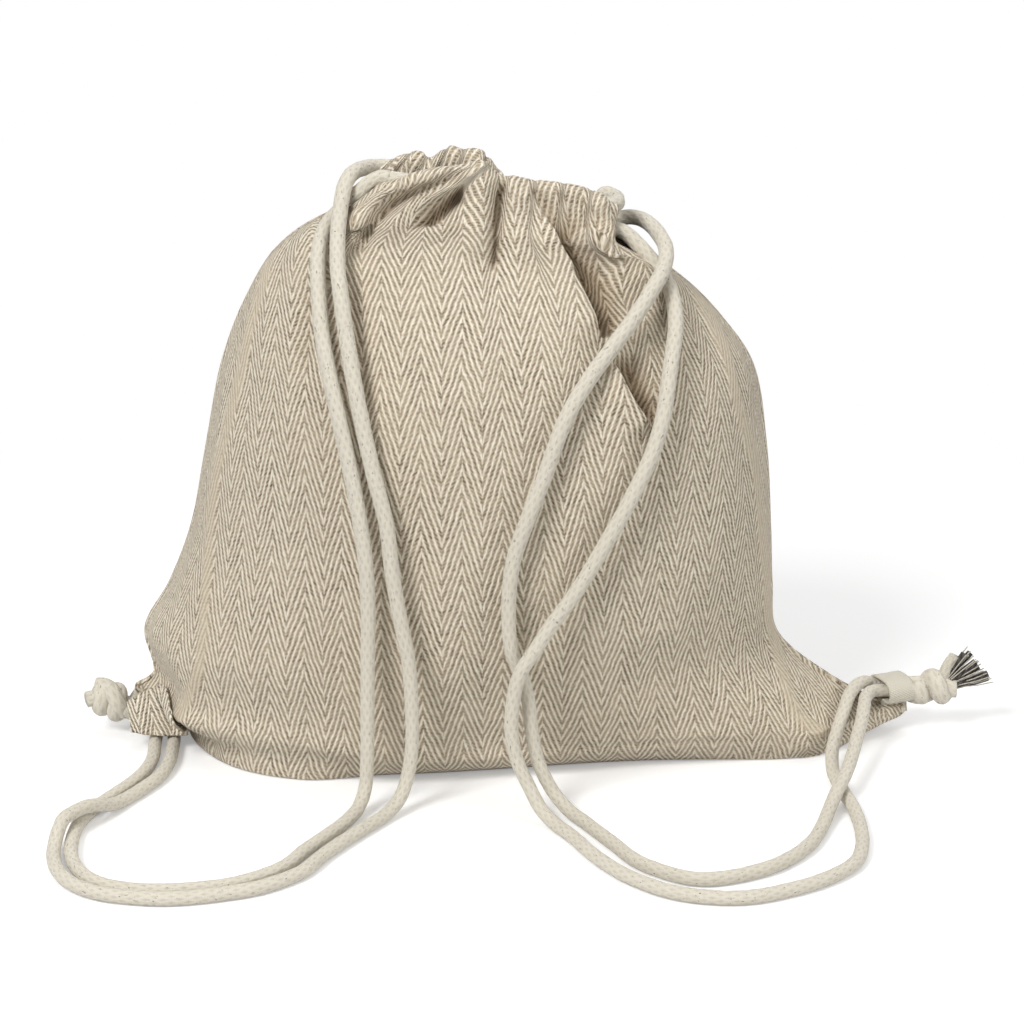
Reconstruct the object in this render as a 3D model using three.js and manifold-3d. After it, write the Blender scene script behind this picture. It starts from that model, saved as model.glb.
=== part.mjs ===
import * as THREE from 'three';
import { mergeVertices } from 'three/addons/utils/BufferGeometryUtils.js';
import Module from 'manifold-3d';

// Cotton drawstring bag, worn as a rucksack: two sewn panels, a gathered mouth with a hem casing on
// each side, and two cords that run through both casings and end in a knot behind a tape loop at
// each bottom corner. Millimetres, +Z up, front towards -Y, origin at the middle of the base.

// Cloth and clearances
const clothThickness = 1.6;
const seamGap = 0.3; // between the two panels along the side and bottom seams
const fitGap = 0.3; // between pieces that touch

// Filled shape of the bag
const bagHeight = 264.5; // from the base to the middle of the lips
const bulgeDepth = 95; // half depth where the bag is fullest
const baseDepth = 48; // half depth of the flat base
const baseLean = 0.2; // share by which the base reaches further forward at the left than at the right

// Cords
const cordDiameter = 7;
const cordSides = 8;
const strandStep = 2.1; // diameters from one ring of a strand to the next
const runStep = 1.2; // the same for the runs in the casings

// Gathered lips round the mouth
const lipLength = 104;
const lipTiltDegrees = 7; // the mouth leans down to the right
const lipCentreX = -6;
const mouthGap = 15; // clear width between the two lips
const cordSpacing = 11; // centre to centre of the two cords in a casing
const turnReach = 10; // how far a cord's turn stands out beyond the lips
const lowTurnGap = 1.1; // between the halves of the lower turn, which roll on each other as the lips open
const tunnelClearance = 0.7;
const hemThickness = 2.3;
const pleatCount = 5;
const lipPleatDepth = 2.4;
const neckPleatDepth = 2.2;

// Tape loops at the bottom corners
const tapeThickness = 1.2;
const rightTapeWidth = 14;
const leftTapeWidth = 12;
const loopSlack = 2.5; // free width beside the two cords inside a loop
const loopHeadroom = 0.9; // free height above and below them
const tongueLength = 8; // sewn into the seam
const leftLoopRise = 30; // degrees by which the left loop's cords climb towards their knot

// Knots and cord ends
const leftKnotLength = 18;
const rightKnotLength = 22;
const knotRadius = 10.5;
const frayedEndLength = 14;
const frayedEndRadius = 11;
const cutEndLength = 4;

// Mesh fineness
const panelColumns = 30;
const rowsPerSection = 2;
const lipSteps = 18;

const cordRadius = cordDiameter / 2;
const tunnelRadius = cordRadius + tunnelClearance;
const lipRadius = tunnelRadius + hemThickness;
const lipY = mouthGap / 2 + lipRadius; // from the mid plane to the middle of each lip
const lipTilt = THREE.MathUtils.degToRad(lipTiltDegrees);
const lipBottom = -(cordSpacing / 2 + lipRadius);

const lipFrame = new THREE.Matrix4().makeRotationY(lipTilt).setPosition(lipCentreX, 0, bagHeight);
const lipPoint = (x, y, z) => new THREE.Vector3(x, y, z).applyMatrix4(lipFrame);

// Heights below are drawn for a bag 264.5 mm tall. Another height stretches the middle of the bag and
// its cords, and leaves the corners and shoulders as they are.
const drawnHeight = 264.5;
const stretched = { fromZ: 60, toZ: 170 };

function raised(z) {
  const share = THREE.MathUtils.clamp((z - stretched.fromZ) / (stretched.toZ - stretched.fromZ), 0, 1);
  return z + (bagHeight - drawnHeight) * share;
}

// Side seams from the neck down to the base, as [left x, left z, right x, right z]. The last five
// pairs draw the sewn corners, which stand out beside the filled base as flat ears.
const neckLeft = lipPoint(-lipLength / 2, 0, lipBottom - fitGap);
const neckRight = lipPoint(lipLength / 2, 0, lipBottom - fitGap);
const rightEar = { tipX: 190, topZ: 16, width: 11 };
const sideSeams = [
  [neckLeft.x, neckLeft.z, neckRight.x, neckRight.z],
  [-86, 257.5, 59, 240],
  [-110.5, 242, 80, 226],
  [-126, 218, 98, 208],
  [-138, 188, 113, 186],
  [-147, 146, 120.5, 146],
  [-155.5, 106, 123.5, 106],
  [-167, 77, 125, 77],
  [-179.5, 54, 128, 52],
  [-176, 31, 153, 30],
  [-184.5, 23, rightEar.tipX - rightEar.width, rightEar.topZ],
  [-178.5, 17.4, rightEar.tipX, rightEar.topZ - 3],
  [-163.5, 10.5, rightEar.tipX, 9],
  [-159, 0, 168, 0],
];

// Half depth as a share of the bulge, and how round each section is: its front follows
// (1 - |x|^power)^lift, a flat-sided oval at the neck, an ellipse at the bulge, thin ears at the base.
const neckShare = (lipY + clothThickness / 2) / bulgeDepth;
const baseShare = baseDepth / bulgeDepth;
const sectionForms = [
  [neckShare, 8, 0.5],
  [0.28, 5, 0.5],
  [0.5, 3, 0.5],
  [0.71, 2.4, 0.5],
  [0.87, 2.2, 0.5],
  [0.98, 2.2, 0.5],
  [1, 2.2, 0.5],
  [0.98, 2.2, 0.5],
  [0.93, 2.4, 0.6],
  [0.83, 3, 1],
  [0.76, 4, 1.3],
  [0.73, 4, 1.4],
  [0.7, 4, 1.5],
  [baseShare, 8, 0.8],
];
const earLift = 1.5; // lift at which the two panels lie flat on each other at the edge
const foldedRows = 3; // rows that carry the cloth under the base to the bottom seam
const leaning = { fromRow: 7, toRow: 11 }; // seam rows over which the lean of the base sets in

const seamCurve = (x, z) => new THREE.CatmullRomCurve3(
  sideSeams.map((row, i) => new THREE.Vector3(row[x], 0, i === 0 ? row[z] : raised(row[z]))));
const leftSeam = seamCurve(0, 1);
const rightSeam = seamCurve(2, 3);
const formCurve = new THREE.CatmullRomCurve3(sectionForms.map((form) => new THREE.Vector3(...form)));

// The seams open round the tongues of the tape loops
const tongueHalf = tapeThickness + fitGap;
const tongueReach = { fromX: 148, toX: 158, fromZ: 28, toZ: 34 };

function halfGap(x, z) {
  const beside = THREE.MathUtils.smoothstep(Math.abs(x), tongueReach.fromX, tongueReach.toX);
  const below = 1 - THREE.MathUtils.smoothstep(z, tongueReach.fromZ, tongueReach.toZ);
  return seamGap / 2 + (tongueHalf - seamGap / 2) * beside * below;
}

function neckPleats(t, across) {
  const belowNeck = t * (sideSeams.length - 1);
  const strength = THREE.MathUtils.smoothstep(belowNeck, 0, 1)
    * (1 - THREE.MathUtils.smoothstep(belowNeck, 1.5, 5));
  return neckPleatDepth * strength * Math.cos(2 * Math.PI * pleatCount * across) * (1 - across ** 2);
}

// One row of a panel: the outer and the inner points from the left seam to the right seam
function panelRow(t, side) {
  const left = leftSeam.getPoint(t);
  const right = rightSeam.getPoint(t);
  const form = formCurve.getPoint(t);
  const depth = bulgeDepth * form.x;
  const flatness = THREE.MathUtils.clamp((form.z - 0.5) / (earLift - 0.5), 0, 1);
  const middle = left.clone().add(right).multiplyScalar(0.5);
  const reach = right.clone().sub(left).multiplyScalar(0.5);
  const leanShare = THREE.MathUtils.smoothstep(t * (sideSeams.length - 1), leaning.fromRow, leaning.toRow);
  const outer = [];
  const inner = [];
  for (let i = 0; i <= panelColumns; i++) {
    const across = -Math.cos((Math.PI * i) / panelColumns);
    const swell = Math.max(0, 1 - Math.abs(across) ** form.y) ** form.z;
    const lean = 1 - baseLean * leanShare * Math.sin(Math.PI * across);
    const point = middle.clone().addScaledVector(reach, across);
    const gap = halfGap(point.x, point.z);
    const pinched = gap + flatness * clothThickness;
    const pleat = neckPleats(t, across);
    const outerY = pinched + (depth * lean - pinched) * swell + pleat;
    const innerY = gap + (depth * lean - clothThickness - gap) * swell + pleat;
    const narrowing = 1 - (clothThickness * (1 - flatness)) / reach.length();
    const innerPoint = middle.clone().addScaledVector(reach, across * narrowing);
    outer.push(new THREE.Vector3(point.x, side * outerY, point.z));
    inner.push(new THREE.Vector3(innerPoint.x, side * innerY, Math.max(innerPoint.z, clothThickness)));
  }
  return { outer, inner, gap: (x) => halfGap(x, 0) };
}

// A closed body between an outer and an inner grid of points. The columns either close on
// themselves, as round a tunnel, or end at two edges.
function shellBody(outer, inner, closedColumns) {
  const rows = outer.length;
  const columns = outer[0].length;
  const positions = [...outer.flat(), ...inner.flat()].flatMap((point) => point.toArray());
  const index = [];
  const at = (layer, row, column) => layer * rows * columns + row * columns + (column % columns);
  const quad = (a, b, c, d) => index.push(a, b, c, a, c, d);
  const spans = closedColumns ? columns : columns - 1;
  for (let column = 0; column < spans; column++) {
    for (let row = 0; row < rows - 1; row++) {
      quad(at(0, row, column), at(0, row + 1, column), at(0, row + 1, column + 1), at(0, row, column + 1));
      quad(at(1, row, column), at(1, row, column + 1), at(1, row + 1, column + 1), at(1, row + 1, column));
    }
    quad(at(0, 0, column), at(0, 0, column + 1), at(1, 0, column + 1), at(1, 0, column));
    quad(at(0, rows - 1, column), at(1, rows - 1, column), at(1, rows - 1, column + 1), at(0, rows - 1, column + 1));
  }
  if (!closedColumns) {
    const last = columns - 1;
    for (let row = 0; row < rows - 1; row++) {
      quad(at(0, row, 0), at(1, row, 0), at(1, row + 1, 0), at(0, row + 1, 0));
      quad(at(0, row, last), at(0, row + 1, last), at(1, row + 1, last), at(1, row, last));
    }
  }
  const geometry = new THREE.BufferGeometry();
  geometry.setAttribute('position', new THREE.Float32BufferAttribute(positions, 3));
  geometry.setIndex(index);
  return facingOut(geometry);
}

function facingOut(geometry) {
  const place = geometry.attributes.position;
  const index = geometry.index.array;
  const [a, b, c] = [0, 0, 0].map(() => new THREE.Vector3());
  let volume = 0;
  for (let i = 0; i < index.length; i += 3) {
    a.fromBufferAttribute(place, index[i]);
    b.fromBufferAttribute(place, index[i + 1]);
    c.fromBufferAttribute(place, index[i + 2]);
    volume += a.dot(b.cross(c));
  }
  if (volume < 0) {
    for (let i = 0; i < index.length; i += 3) {
      [index[i + 1], index[i + 2]] = [index[i + 2], index[i + 1]];
    }
  }
  return geometry;
}

function panel(side) {
  const rowCount = (sideSeams.length - 1) * rowsPerSection;
  const outer = [];
  const inner = [];
  let row;
  for (let i = 0; i <= rowCount; i++) {
    row = panelRow(i / rowCount, side);
    outer.push(row.outer);
    inner.push(row.inner);
  }
  const folded = (points, share) => points.map((point) => {
    const seam = side * row.gap(point.x);
    return new THREE.Vector3(point.x, seam + (point.y - seam) * share, point.z);
  });
  for (let i = 1; i <= foldedRows; i++) {
    const share = 1 - i / foldedRows;
    outer.push(folded(row.outer, share));
    inner.push(folded(row.inner, share));
  }
  return shellBody(outer, inner, false);
}

// A lip is the panel's top hem: a tunnel for two cords, one above the other, gathered into pleats.
// It stays round below, where it rolls on the neck when the mouth opens.
function casing(side) {
  const ring = (along, radius, pleatDepth) => {
    const points = [];
    const x = (along * lipLength) / 2;
    const pleat = pleatDepth * 0.5 * (1 + Math.cos(2 * Math.PI * (pleatCount + 1) * along));
    for (const [centreZ, fromAngle, swell] of [[cordSpacing / 2, 0, 1], [-cordSpacing / 2, Math.PI, 0]]) {
      for (let i = 0; i <= 6; i++) {
        const angle = fromAngle + (Math.PI * i) / 6;
        const outward = radius + pleat * swell * Math.max(0, Math.cos(angle)) + pleat * swell * 0.5 * Math.sin(angle);
        points.push(new THREE.Vector3(x, side * (lipY + outward * Math.cos(angle)),
          centreZ + outward * Math.sin(angle)));
      }
    }
    return points;
  };
  const outer = [];
  const inner = [];
  for (let i = 0; i <= lipSteps; i++) {
    const along = (2 * i) / lipSteps - 1;
    outer.push(ring(along, lipRadius, lipPleatDepth));
    inner.push(ring(along, tunnelRadius, 0));
  }
  return shellBody(outer, inner, true).applyMatrix4(lipFrame);
}

const section = new THREE.Shape(Array.from({ length: cordSides }, (_, i) => {
  const angle = (2 * Math.PI * (i + 0.5)) / cordSides;
  return new THREE.Vector2(Math.cos(angle), Math.sin(angle)).multiplyScalar(cordRadius);
}));

function cordTube(points, diametersPerStep) {
  const route = new THREE.CatmullRomCurve3(points, false, 'centripetal');
  const steps = Math.ceil(route.getLength() / (diametersPerStep * cordDiameter));
  return new THREE.ExtrudeGeometry(section, { steps, extrudePath: route });
}

// A cord's run through one casing, with half of the turn that takes it over to the other casing.
// The left cord runs above and turns at the right, the right cord runs below and turns at the left.
function casingRun(turnSide, side, height, turnGap) {
  const end = lipLength / 2;
  const turn = [
    [-end, lipY], [-end * 0.6, lipY], [0, lipY], [end * 0.6, lipY], [end, lipY],
    [end + turnReach * 0.4, lipY - 0.4], [end + turnReach * 0.8, lipY - 3.5], [end + turnReach, lipY - 8],
    [end + turnReach, lipY - 11], [end + turnReach, turnGap / 2],
  ];
  return cordTube(turn.map(([x, y]) => lipPoint(turnSide * x, side * y, height)), runStep);
}

// A tape loop round two cords. Its own frame has the cords along +X, from the bag to the knot, and
// the tongue, both ends of the tape on each other, along -Z.
const loopHalfWidth = cordDiameter + loopSlack + tapeThickness;
const loopHalfHeight = cordRadius + loopHeadroom + tapeThickness;

function tapeLoop(width) {
  const roundSlot = (path, halfWidth, halfHeight) => {
    path.absarc(halfWidth - halfHeight, 0, halfHeight, -Math.PI / 2, Math.PI / 2);
    path.absarc(halfHeight - halfWidth, 0, halfHeight, Math.PI / 2, (3 * Math.PI) / 2);
  };
  const outline = new THREE.Shape();
  outline.moveTo(-tapeThickness, -loopHalfHeight);
  outline.lineTo(-tapeThickness, -loopHalfHeight - tongueLength);
  outline.lineTo(tapeThickness, -loopHalfHeight - tongueLength);
  outline.lineTo(tapeThickness, -loopHalfHeight);
  roundSlot(outline, loopHalfWidth, loopHalfHeight);
  const hole = new THREE.Path();
  hole.moveTo(loopHalfWidth - loopHalfHeight, tapeThickness - loopHalfHeight);
  roundSlot(hole, loopHalfWidth - tapeThickness, loopHalfHeight - tapeThickness);
  outline.holes.push(hole);
  const geometry = new THREE.ExtrudeGeometry(outline, { depth: width, bevelEnabled: false, curveSegments: 6 });
  const alongX = new THREE.Matrix4().makeBasis(
    new THREE.Vector3(0, 1, 0), new THREE.Vector3(0, 0, 1), new THREE.Vector3(1, 0, 0));
  return geometry.translate(0, 0, -width / 2).applyMatrix4(alongX);
}

const rightLoopFrame = new THREE.Matrix4().setPosition(
  rightEar.tipX + 2 - rightTapeWidth / 2, 0, rightEar.topZ + 1 + loopHalfHeight);
const leftLoopFrame = new THREE.Matrix4()
  .makeRotationY(Math.PI + THREE.MathUtils.degToRad(leftLoopRise))
  .setPosition(-184, 0, 11.6);
const loopPoint = (frame, x, y) => new THREE.Vector3(x, y, 0).applyMatrix4(frame);

// A knot of both cord ends, with a flat face against the strands, and the loose ends behind it
const wasm = await Module();
wasm.setup();

function solid(geometry) {
  const bare = geometry.clone();
  bare.deleteAttribute('normal');
  bare.deleteAttribute('uv');
  const merged = mergeVertices(bare, 1e-4);
  return new wasm.Manifold(new wasm.Mesh({
    numProp: 3,
    vertProperties: new Float32Array(merged.attributes.position.array),
    triVerts: new Uint32Array(merged.index.array),
  }));
}

function knot(tapeWidth, length, endLength, endRadius, endDirection, frame) {
  const profile = [[0, 0], [0.68, 0], [0.92, 0.12], [1, 0.35], [0.9, 0.5], [0.98, 0.68], [0.78, 0.9], [0, 1]];
  const body = new THREE.LatheGeometry(
    profile.map(([radius, along]) => new THREE.Vector2(radius * knotRadius, along * length)), 14);
  body.rotateZ(-Math.PI / 2);
  const end = new THREE.CylinderGeometry(endRadius, cordRadius * 1.6, endLength + knotRadius * 0.6, 12);
  const start = new THREE.Vector3(length * 0.72, 0, 0);
  end.translate(0, endLength / 2 + knotRadius * 0.5, 0);
  end.applyQuaternion(new THREE.Quaternion().setFromUnitVectors(
    new THREE.Vector3(0, 1, 0), new THREE.Vector3(...endDirection).normalize()));
  end.translate(start.x, start.y, start.z);
  const joined = solid(body).add(solid(end)).getMesh();
  const geometry = new THREE.BufferGeometry();
  geometry.setAttribute('position', new THREE.Float32BufferAttribute(joined.vertProperties, 3));
  geometry.setIndex([...joined.triVerts]);
  return geometry.translate(tapeWidth / 2 + fitGap, 0, 0).applyMatrix4(frame);
}

// Each strand starts at its casing's mouth, hangs down the front of the bag, lies on the table in a
// loose loop and comes back to the corner. The middle of each route is chosen by hand.
const strandRoutes = {
  left_cord_front_strand: [
    [-66.6, -14.5, 274.3], [-71, -15, 269.7], [-75.6, -14.3, 265.3], [-80.2, -15.6, 261.8], [-84.6, -21, 257.8],
    [-87.8, -30, 252.3], [-88.8, -39.5, 245.2], [-88.5, -49, 236.5], [-87.5, -58, 226.5], [-86.2, -65.5, 216],
    [-82, -77, 197], [-77.5, -85.5, 179], [-70.5, -94.5, 147],
    [-66.5, -99.5, 120], [-65.5, -100.5, 98], [-66, -100.5, 76], [-66.5, -100.5, 50], [-67, -100.5, 26],
    [-68, -102, 12], [-70.5, -108, 5.5], [-75, -120, 3.8], [-83, -137, 3.7], [-91, -152, 3.7],
    [-101.5, -174, 3.7], [-118.5, -189, 3.7], [-136, -195, 3.7], [-154.5, -196.7, 3.7], [-172, -193, 3.7],
    [-184, -183.5, 3.7], [-192, -168, 3.7], [-195.5, -152, 3.7], [-196.5, -133, 3.7], [-194.5, -116.5, 3.7],
    [-189.7, -102.5, 3.7], [-183.3, -88, 3.7], [-177, -73.3, 3.7], [-173, -57.5, 3.7], [-172, -42, 3.7],
    [-173, -29, 3.8], [-173.5, -18, 4.1], [-173.8, -9.5, 5.4], [-176.6, -4.6, 7.4],
  ],
  left_cord_back_strand: [
    [-66.3, 10, 277.4], [-70.2, 2.8, 278], [-74, -6.6, 277.8], [-77.1, -16.2, 274.8], [-78.7, -23.2, 268.6],
    [-79.5, -28.6, 262], [-80, -34.5, 256], [-80, -41.5, 249.5], [-79.6, -49.5, 242], [-78.3, -57, 235],
    [-76.3, -65.5, 222.5], [-69.8, -83, 189],
    [-62.5, -93, 157.5], [-57, -97.5, 136], [-54.8, -100, 116], [-51.5, -101, 94], [-48, -101, 75],
    [-46.5, -101, 54], [-46.5, -101, 33], [-48.5, -102, 18], [-52, -105.5, 8.5], [-57.5, -113.5, 4.2],
    [-65, -126, 3.7], [-74, -141, 3.7], [-83.5, -158.5, 3.7], [-92.5, -178, 3.7], [-109, -193.5, 3.7],
    [-121.5, -199, 3.7], [-135.5, -203.3, 3.7], [-149, -205, 3.7], [-163, -203.5, 3.7], [-178, -198.8, 3.7],
    [-190.3, -188.8, 3.7], [-198.3, -174.5, 3.7], [-202.3, -158, 4.3], [-202, -146.5, 8.6], [-200.5, -137, 11.3],
    [-197, -129.5, 11.5], [-193, -123, 11.2], [-188.3, -115.3, 9], [-183.5, -106.5, 5.4], [-179, -96.5, 3.7],
    [-171.5, -81.5, 3.7], [-165.8, -66.5, 3.7], [-163.6, -50.5, 3.7], [-163.8, -33.5, 3.7],
    [-164.8, -18, 3.8], [-166, -6, 4.2], [-170.8, 1.8, 5.9],
  ],
  right_cord_back_strand: [
    [54.5, 12.5, 253.2], [60, 8.5, 252.8], [64.5, 1.5, 250.8], [67.8, -8, 248], [69.6, -17.5, 245.4],
    [69.6, -27, 242.2], [67.3, -36.5, 237.2], [61.8, -47, 230.5], [54, -58, 221], [43.5, -69.5, 209.5], [33, -79.5, 197.5],
    [23, -88, 182], [13.5, -95, 157.5], [6.5, -98.7, 140], [-0.5, -100.3, 119], [-2.5, -100.5, 94],
    [-1, -100.5, 77], [3, -100.5, 67], [6.5, -100.5, 53], [8, -100.5, 39], [11, -101, 24],
    [18, -104, 10.5], [25, -112, 4.8], [32, -123, 3.7], [43.5, -146, 3.7], [56, -169, 3.7],
    [80, -185, 3.7], [106, -176, 3.7], [120, -163.5, 3.7], [131.5, -146, 3.7], [138.5, -127, 3.9],
    [143.5, -111, 6], [148, -98.5, 9], [153, -85.5, 11.6], [157.5, -70, 13.8], [162, -52, 16.6],
    [166, -36, 19.4], [168.6, -22.5, 21.5], [171, -11, 22.3], [174.6, -5, 22.6],
  ],
  right_cord_front_strand: [
    [53.5, -15.3, 249.3], [58.5, -17.6, 244.6], [63.2, -20.8, 239.6], [67.5, -25.2, 234.6],
    [71, -31.5, 229], [73, -39.5, 222.5], [73.2, -49.5, 214], [70.5, -64, 201], [66.5, -77, 179], [62.3, -82.5, 166],
    [54.5, -89, 150], [42.5, -95, 129], [28.5, -99, 106], [15.2, -103, 88], [9, -106.5, 79],
    [3, -108.3, 70], [0.3, -108.3, 61], [-1.3, -108, 46], [-0.5, -108, 35.5], [2, -108.5, 26],
    [6.5, -110.5, 16.5], [12, -116, 7.5], [18, -124.5, 4], [25.5, -138, 3.7], [36, -161.5, 3.7],
    [50, -183, 3.7], [70, -199.5, 3.7], [96, -204, 3.7], [120, -194.5, 3.7], [138, -181, 3.7],
    [149, -166.5, 3.7], [154, -148, 3.7], [155.5, -126, 3.7], [154.5, -103, 3.7], [151.5, -82, 3.9],
    [149.5, -67, 5.8], [150.5, -52.5, 10], [154, -39.5, 15], [158.3, -26.5, 20], [162.8, -13.5, 24.6],
    [168.2, -3.8, 26.2], [173.6, 2.6, 24.4],
  ],
};

function strand(name) {
  const leftCord = name.startsWith('left');
  const side = name.includes('front') ? -1 : 1;
  const outward = leftCord ? -1 : 1;
  const height = (leftCord ? 1 : -1) * (cordSpacing / 2);
  const mouth = [fitGap, 4].map((gap) => lipPoint(
    outward * (lipLength / 2 + gap), side * lipY, height));
  const [frame, tapeWidth] = leftCord ? [leftLoopFrame, leftTapeWidth] : [rightLoopFrame, rightTapeWidth];
  // In its loop, the front strand of the left cord lies in front, and that of the right cord behind
  const across = (leftCord ? -1 : 1) * (cordRadius + fitGap / 2 + 0.1);
  const lane = name.includes('front') ? across : -across;
  const exit = [-0.4, 0.1, 0.5].map((share) => loopPoint(frame, share * tapeWidth, lane));
  const between = strandRoutes[name].map(([x, y, z]) => new THREE.Vector3(x, y, raised(z)));
  return cordTube([...mouth, ...between, ...exit], strandStep);
}

const finish = (color, roughness) => new THREE.MeshStandardMaterial({ color, roughness, metalness: 0 });
const cloth = () => finish(0xcabfa8, 0.95);
const cord = () => finish(0xc8c1b1, 0.9);
const tape = () => finish(0xd8d2c2, 0.9);

const group = new THREE.Group();
function addPiece(name, geometry, material) {
  const mesh = new THREE.Mesh(geometry, material);
  mesh.name = name;
  group.add(mesh);
}

addPiece('front_panel', panel(-1), cloth());
addPiece('back_panel', panel(1), cloth());
addPiece('front_casing', casing(-1), cloth());
addPiece('back_casing', casing(1), cloth());
addPiece('left_loop_tab', tapeLoop(leftTapeWidth).applyMatrix4(leftLoopFrame), tape());
addPiece('right_loop_tab', tapeLoop(rightTapeWidth).applyMatrix4(rightLoopFrame), tape());
for (const [end, side] of [['front', -1], ['back', 1]]) {
  addPiece(`left_cord_${end}_run`, casingRun(1, side, cordSpacing / 2, fitGap), cord());
  addPiece(`right_cord_${end}_run`, casingRun(-1, side, -cordSpacing / 2, lowTurnGap), cord());
}
for (const name of Object.keys(strandRoutes)) {
  addPiece(name, strand(name), cord());
}
const leftEnds = knot(leftTapeWidth, leftKnotLength, cutEndLength, cordRadius * 1.7, [0.8, 0, 0.6], leftLoopFrame);
addPiece('left_knot', leftEnds, cord());
const rightEnds = knot(rightTapeWidth, rightKnotLength, frayedEndLength, frayedEndRadius, [0.75, 0, 0.66], rightLoopFrame);
addPiece('right_knot', rightEnds, cord());

export default group;
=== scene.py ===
import math

import bmesh
import bpy
import numpy as np
from mathutils import Matrix, Vector, noise


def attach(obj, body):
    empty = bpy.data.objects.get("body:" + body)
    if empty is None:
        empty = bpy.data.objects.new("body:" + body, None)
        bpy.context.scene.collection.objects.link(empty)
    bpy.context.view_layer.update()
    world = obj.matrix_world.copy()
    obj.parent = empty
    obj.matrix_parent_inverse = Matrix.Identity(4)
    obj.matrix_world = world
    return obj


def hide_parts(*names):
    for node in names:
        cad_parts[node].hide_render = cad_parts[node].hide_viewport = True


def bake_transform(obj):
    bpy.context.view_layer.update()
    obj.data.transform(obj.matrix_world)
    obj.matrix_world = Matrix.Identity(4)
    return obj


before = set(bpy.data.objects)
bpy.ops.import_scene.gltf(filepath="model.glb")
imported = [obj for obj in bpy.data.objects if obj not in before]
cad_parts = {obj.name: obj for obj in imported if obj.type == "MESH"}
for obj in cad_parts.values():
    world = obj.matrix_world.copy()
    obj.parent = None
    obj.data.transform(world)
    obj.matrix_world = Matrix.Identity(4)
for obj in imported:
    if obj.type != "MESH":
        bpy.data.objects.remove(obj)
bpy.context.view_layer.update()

# Cotton drawstring bag. Shapes are worked out in millimetres and made in metres; -Y is the front.

scene = bpy.context.scene
print("frame loaded:", len(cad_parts), "solids")

# the mouth, which falls towards the right; lipGap runs from the mid plane to the middle of a lip
mouth = {"tilt": math.radians(7.0), "centre": (-6.0, 0.0, 264.5), "halfWidth": 52.0, "lipGap": 14.0}


def lipPoint(x, y, z):
    # from the tilted frame of the mouth to the bag's frame, in millimetres
    rise, run = math.sin(mouth["tilt"]), math.cos(mouth["tilt"])
    return mouth["centre"][0] + x * run + z * rise, y, mouth["centre"][2] - x * rise + z * run


# camera

camera = {"target": (-0.001, 0.0, 0.112), "distance": 1.4, "elevation": 17.0, "lens": 102.55, "sensor": 36.0,
          "near": 0.05}


def addCamera(settings):
    rise = math.radians(settings["elevation"])
    target = Vector(settings["target"])
    data = bpy.data.cameras.new("bagCamera")
    data.lens = settings["lens"]
    data.sensor_width = settings["sensor"]
    data.clip_start = settings["near"]
    body = bpy.data.objects.new("bagCamera", data)
    scene.collection.objects.link(body)
    away = Vector((0, -math.cos(rise), math.sin(rise)))
    body.location = target + away * settings["distance"]
    body.rotation_euler = (-away).to_track_quat("-Z", "Y").to_euler()
    scene.camera = body


addCamera(camera)

# mesh helpers


def makeMesh(name, points, faces, uvs, attributes=None):
    # points in millimetres; uvs hold one pair for each point, in metres of cloth or cord
    mesh = bpy.data.meshes.new(name)
    mesh.from_pydata([tuple(p) for p in np.asarray(points, float) / 1000.0], [], [tuple(f) for f in faces])
    layer = mesh.uv_layers.new(name="UVMap")
    corner = np.empty(len(mesh.loops), np.int32)
    mesh.loops.foreach_get("vertex_index", corner)
    layer.data.foreach_set("uv", np.asarray(uvs, float)[corner].ravel())
    for key, values in (attributes or {}).items():
        mesh.attributes.new(key, "FLOAT", "POINT").data.foreach_set("value", np.asarray(values, np.float32))
    mesh.polygons.foreach_set("use_smooth", [True] * len(mesh.polygons))
    mesh.validate()
    mesh.update()
    piece = bpy.data.objects.new(name, mesh)
    scene.collection.objects.link(piece)
    return piece


def smoothStep(value, low, high):
    w = np.clip((value - low) / (high - low), 0, 1)
    return w * w * (3 - 2 * w)


def gridFaces(rows, columns, flipped=False):
    faces = []
    for i in range(rows - 1):
        for j in range(columns - 1):
            first, below = i * columns + j, (i + 1) * columns + j
            faces.append((first, first + 1, below + 1, below))
    return [face[::-1] for face in faces] if flipped else faces


def lengthAlong(line):
    # how far along the line each of its points lies
    return np.concatenate([[0], np.cumsum(np.linalg.norm(np.diff(line, axis=0), axis=1))])


def withEnds(points):
    # the points, with one more beyond each end for the curve to head for
    p = np.array(points, float)
    return np.vstack([2 * p[0] - p[1], p, 2 * p[-1] - p[-2]])


def curveBetween(a, b, c, d, w):
    # the centripetal curve from b to c, between the neighbours a and d, at the shares w
    t0, t1, t2 = (np.maximum(np.sum((q - r) ** 2, axis=-1, keepdims=True) ** 0.25, 1e-6)
                  for q, r in ((a, b), (b, c), (c, d)))
    start = ((b - a) / t0 - (c - a) / (t0 + t1) + (c - b) / t1) * t1
    end = ((c - b) / t1 - (d - b) / (t1 + t2) + (d - c) / t2) * t1
    return b + start * w + (3 * (c - b) - 2 * start - end) * w ** 2 + (2 * (b - c) + start + end) * w ** 3


def routeLine(points, spacing):
    # centripetal curve through the points, as in the part, cut into even steps
    p = withEnds(points)
    shares = np.linspace(0, 1, 24, endpoint=False)[:, None]
    dense = [curveBetween(*p[i - 1:i + 3], shares) for i in range(1, len(p) - 2)]
    dense = np.vstack(dense + [p[-2:-1]])
    length = lengthAlong(dense)
    steps = max(2, int(math.ceil(length[-1] / spacing)))
    at = np.linspace(0, length[-1], steps + 1)
    return np.stack([np.interp(at, length, dense[:, k]) for k in range(3)], axis=1), length[-1]


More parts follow.
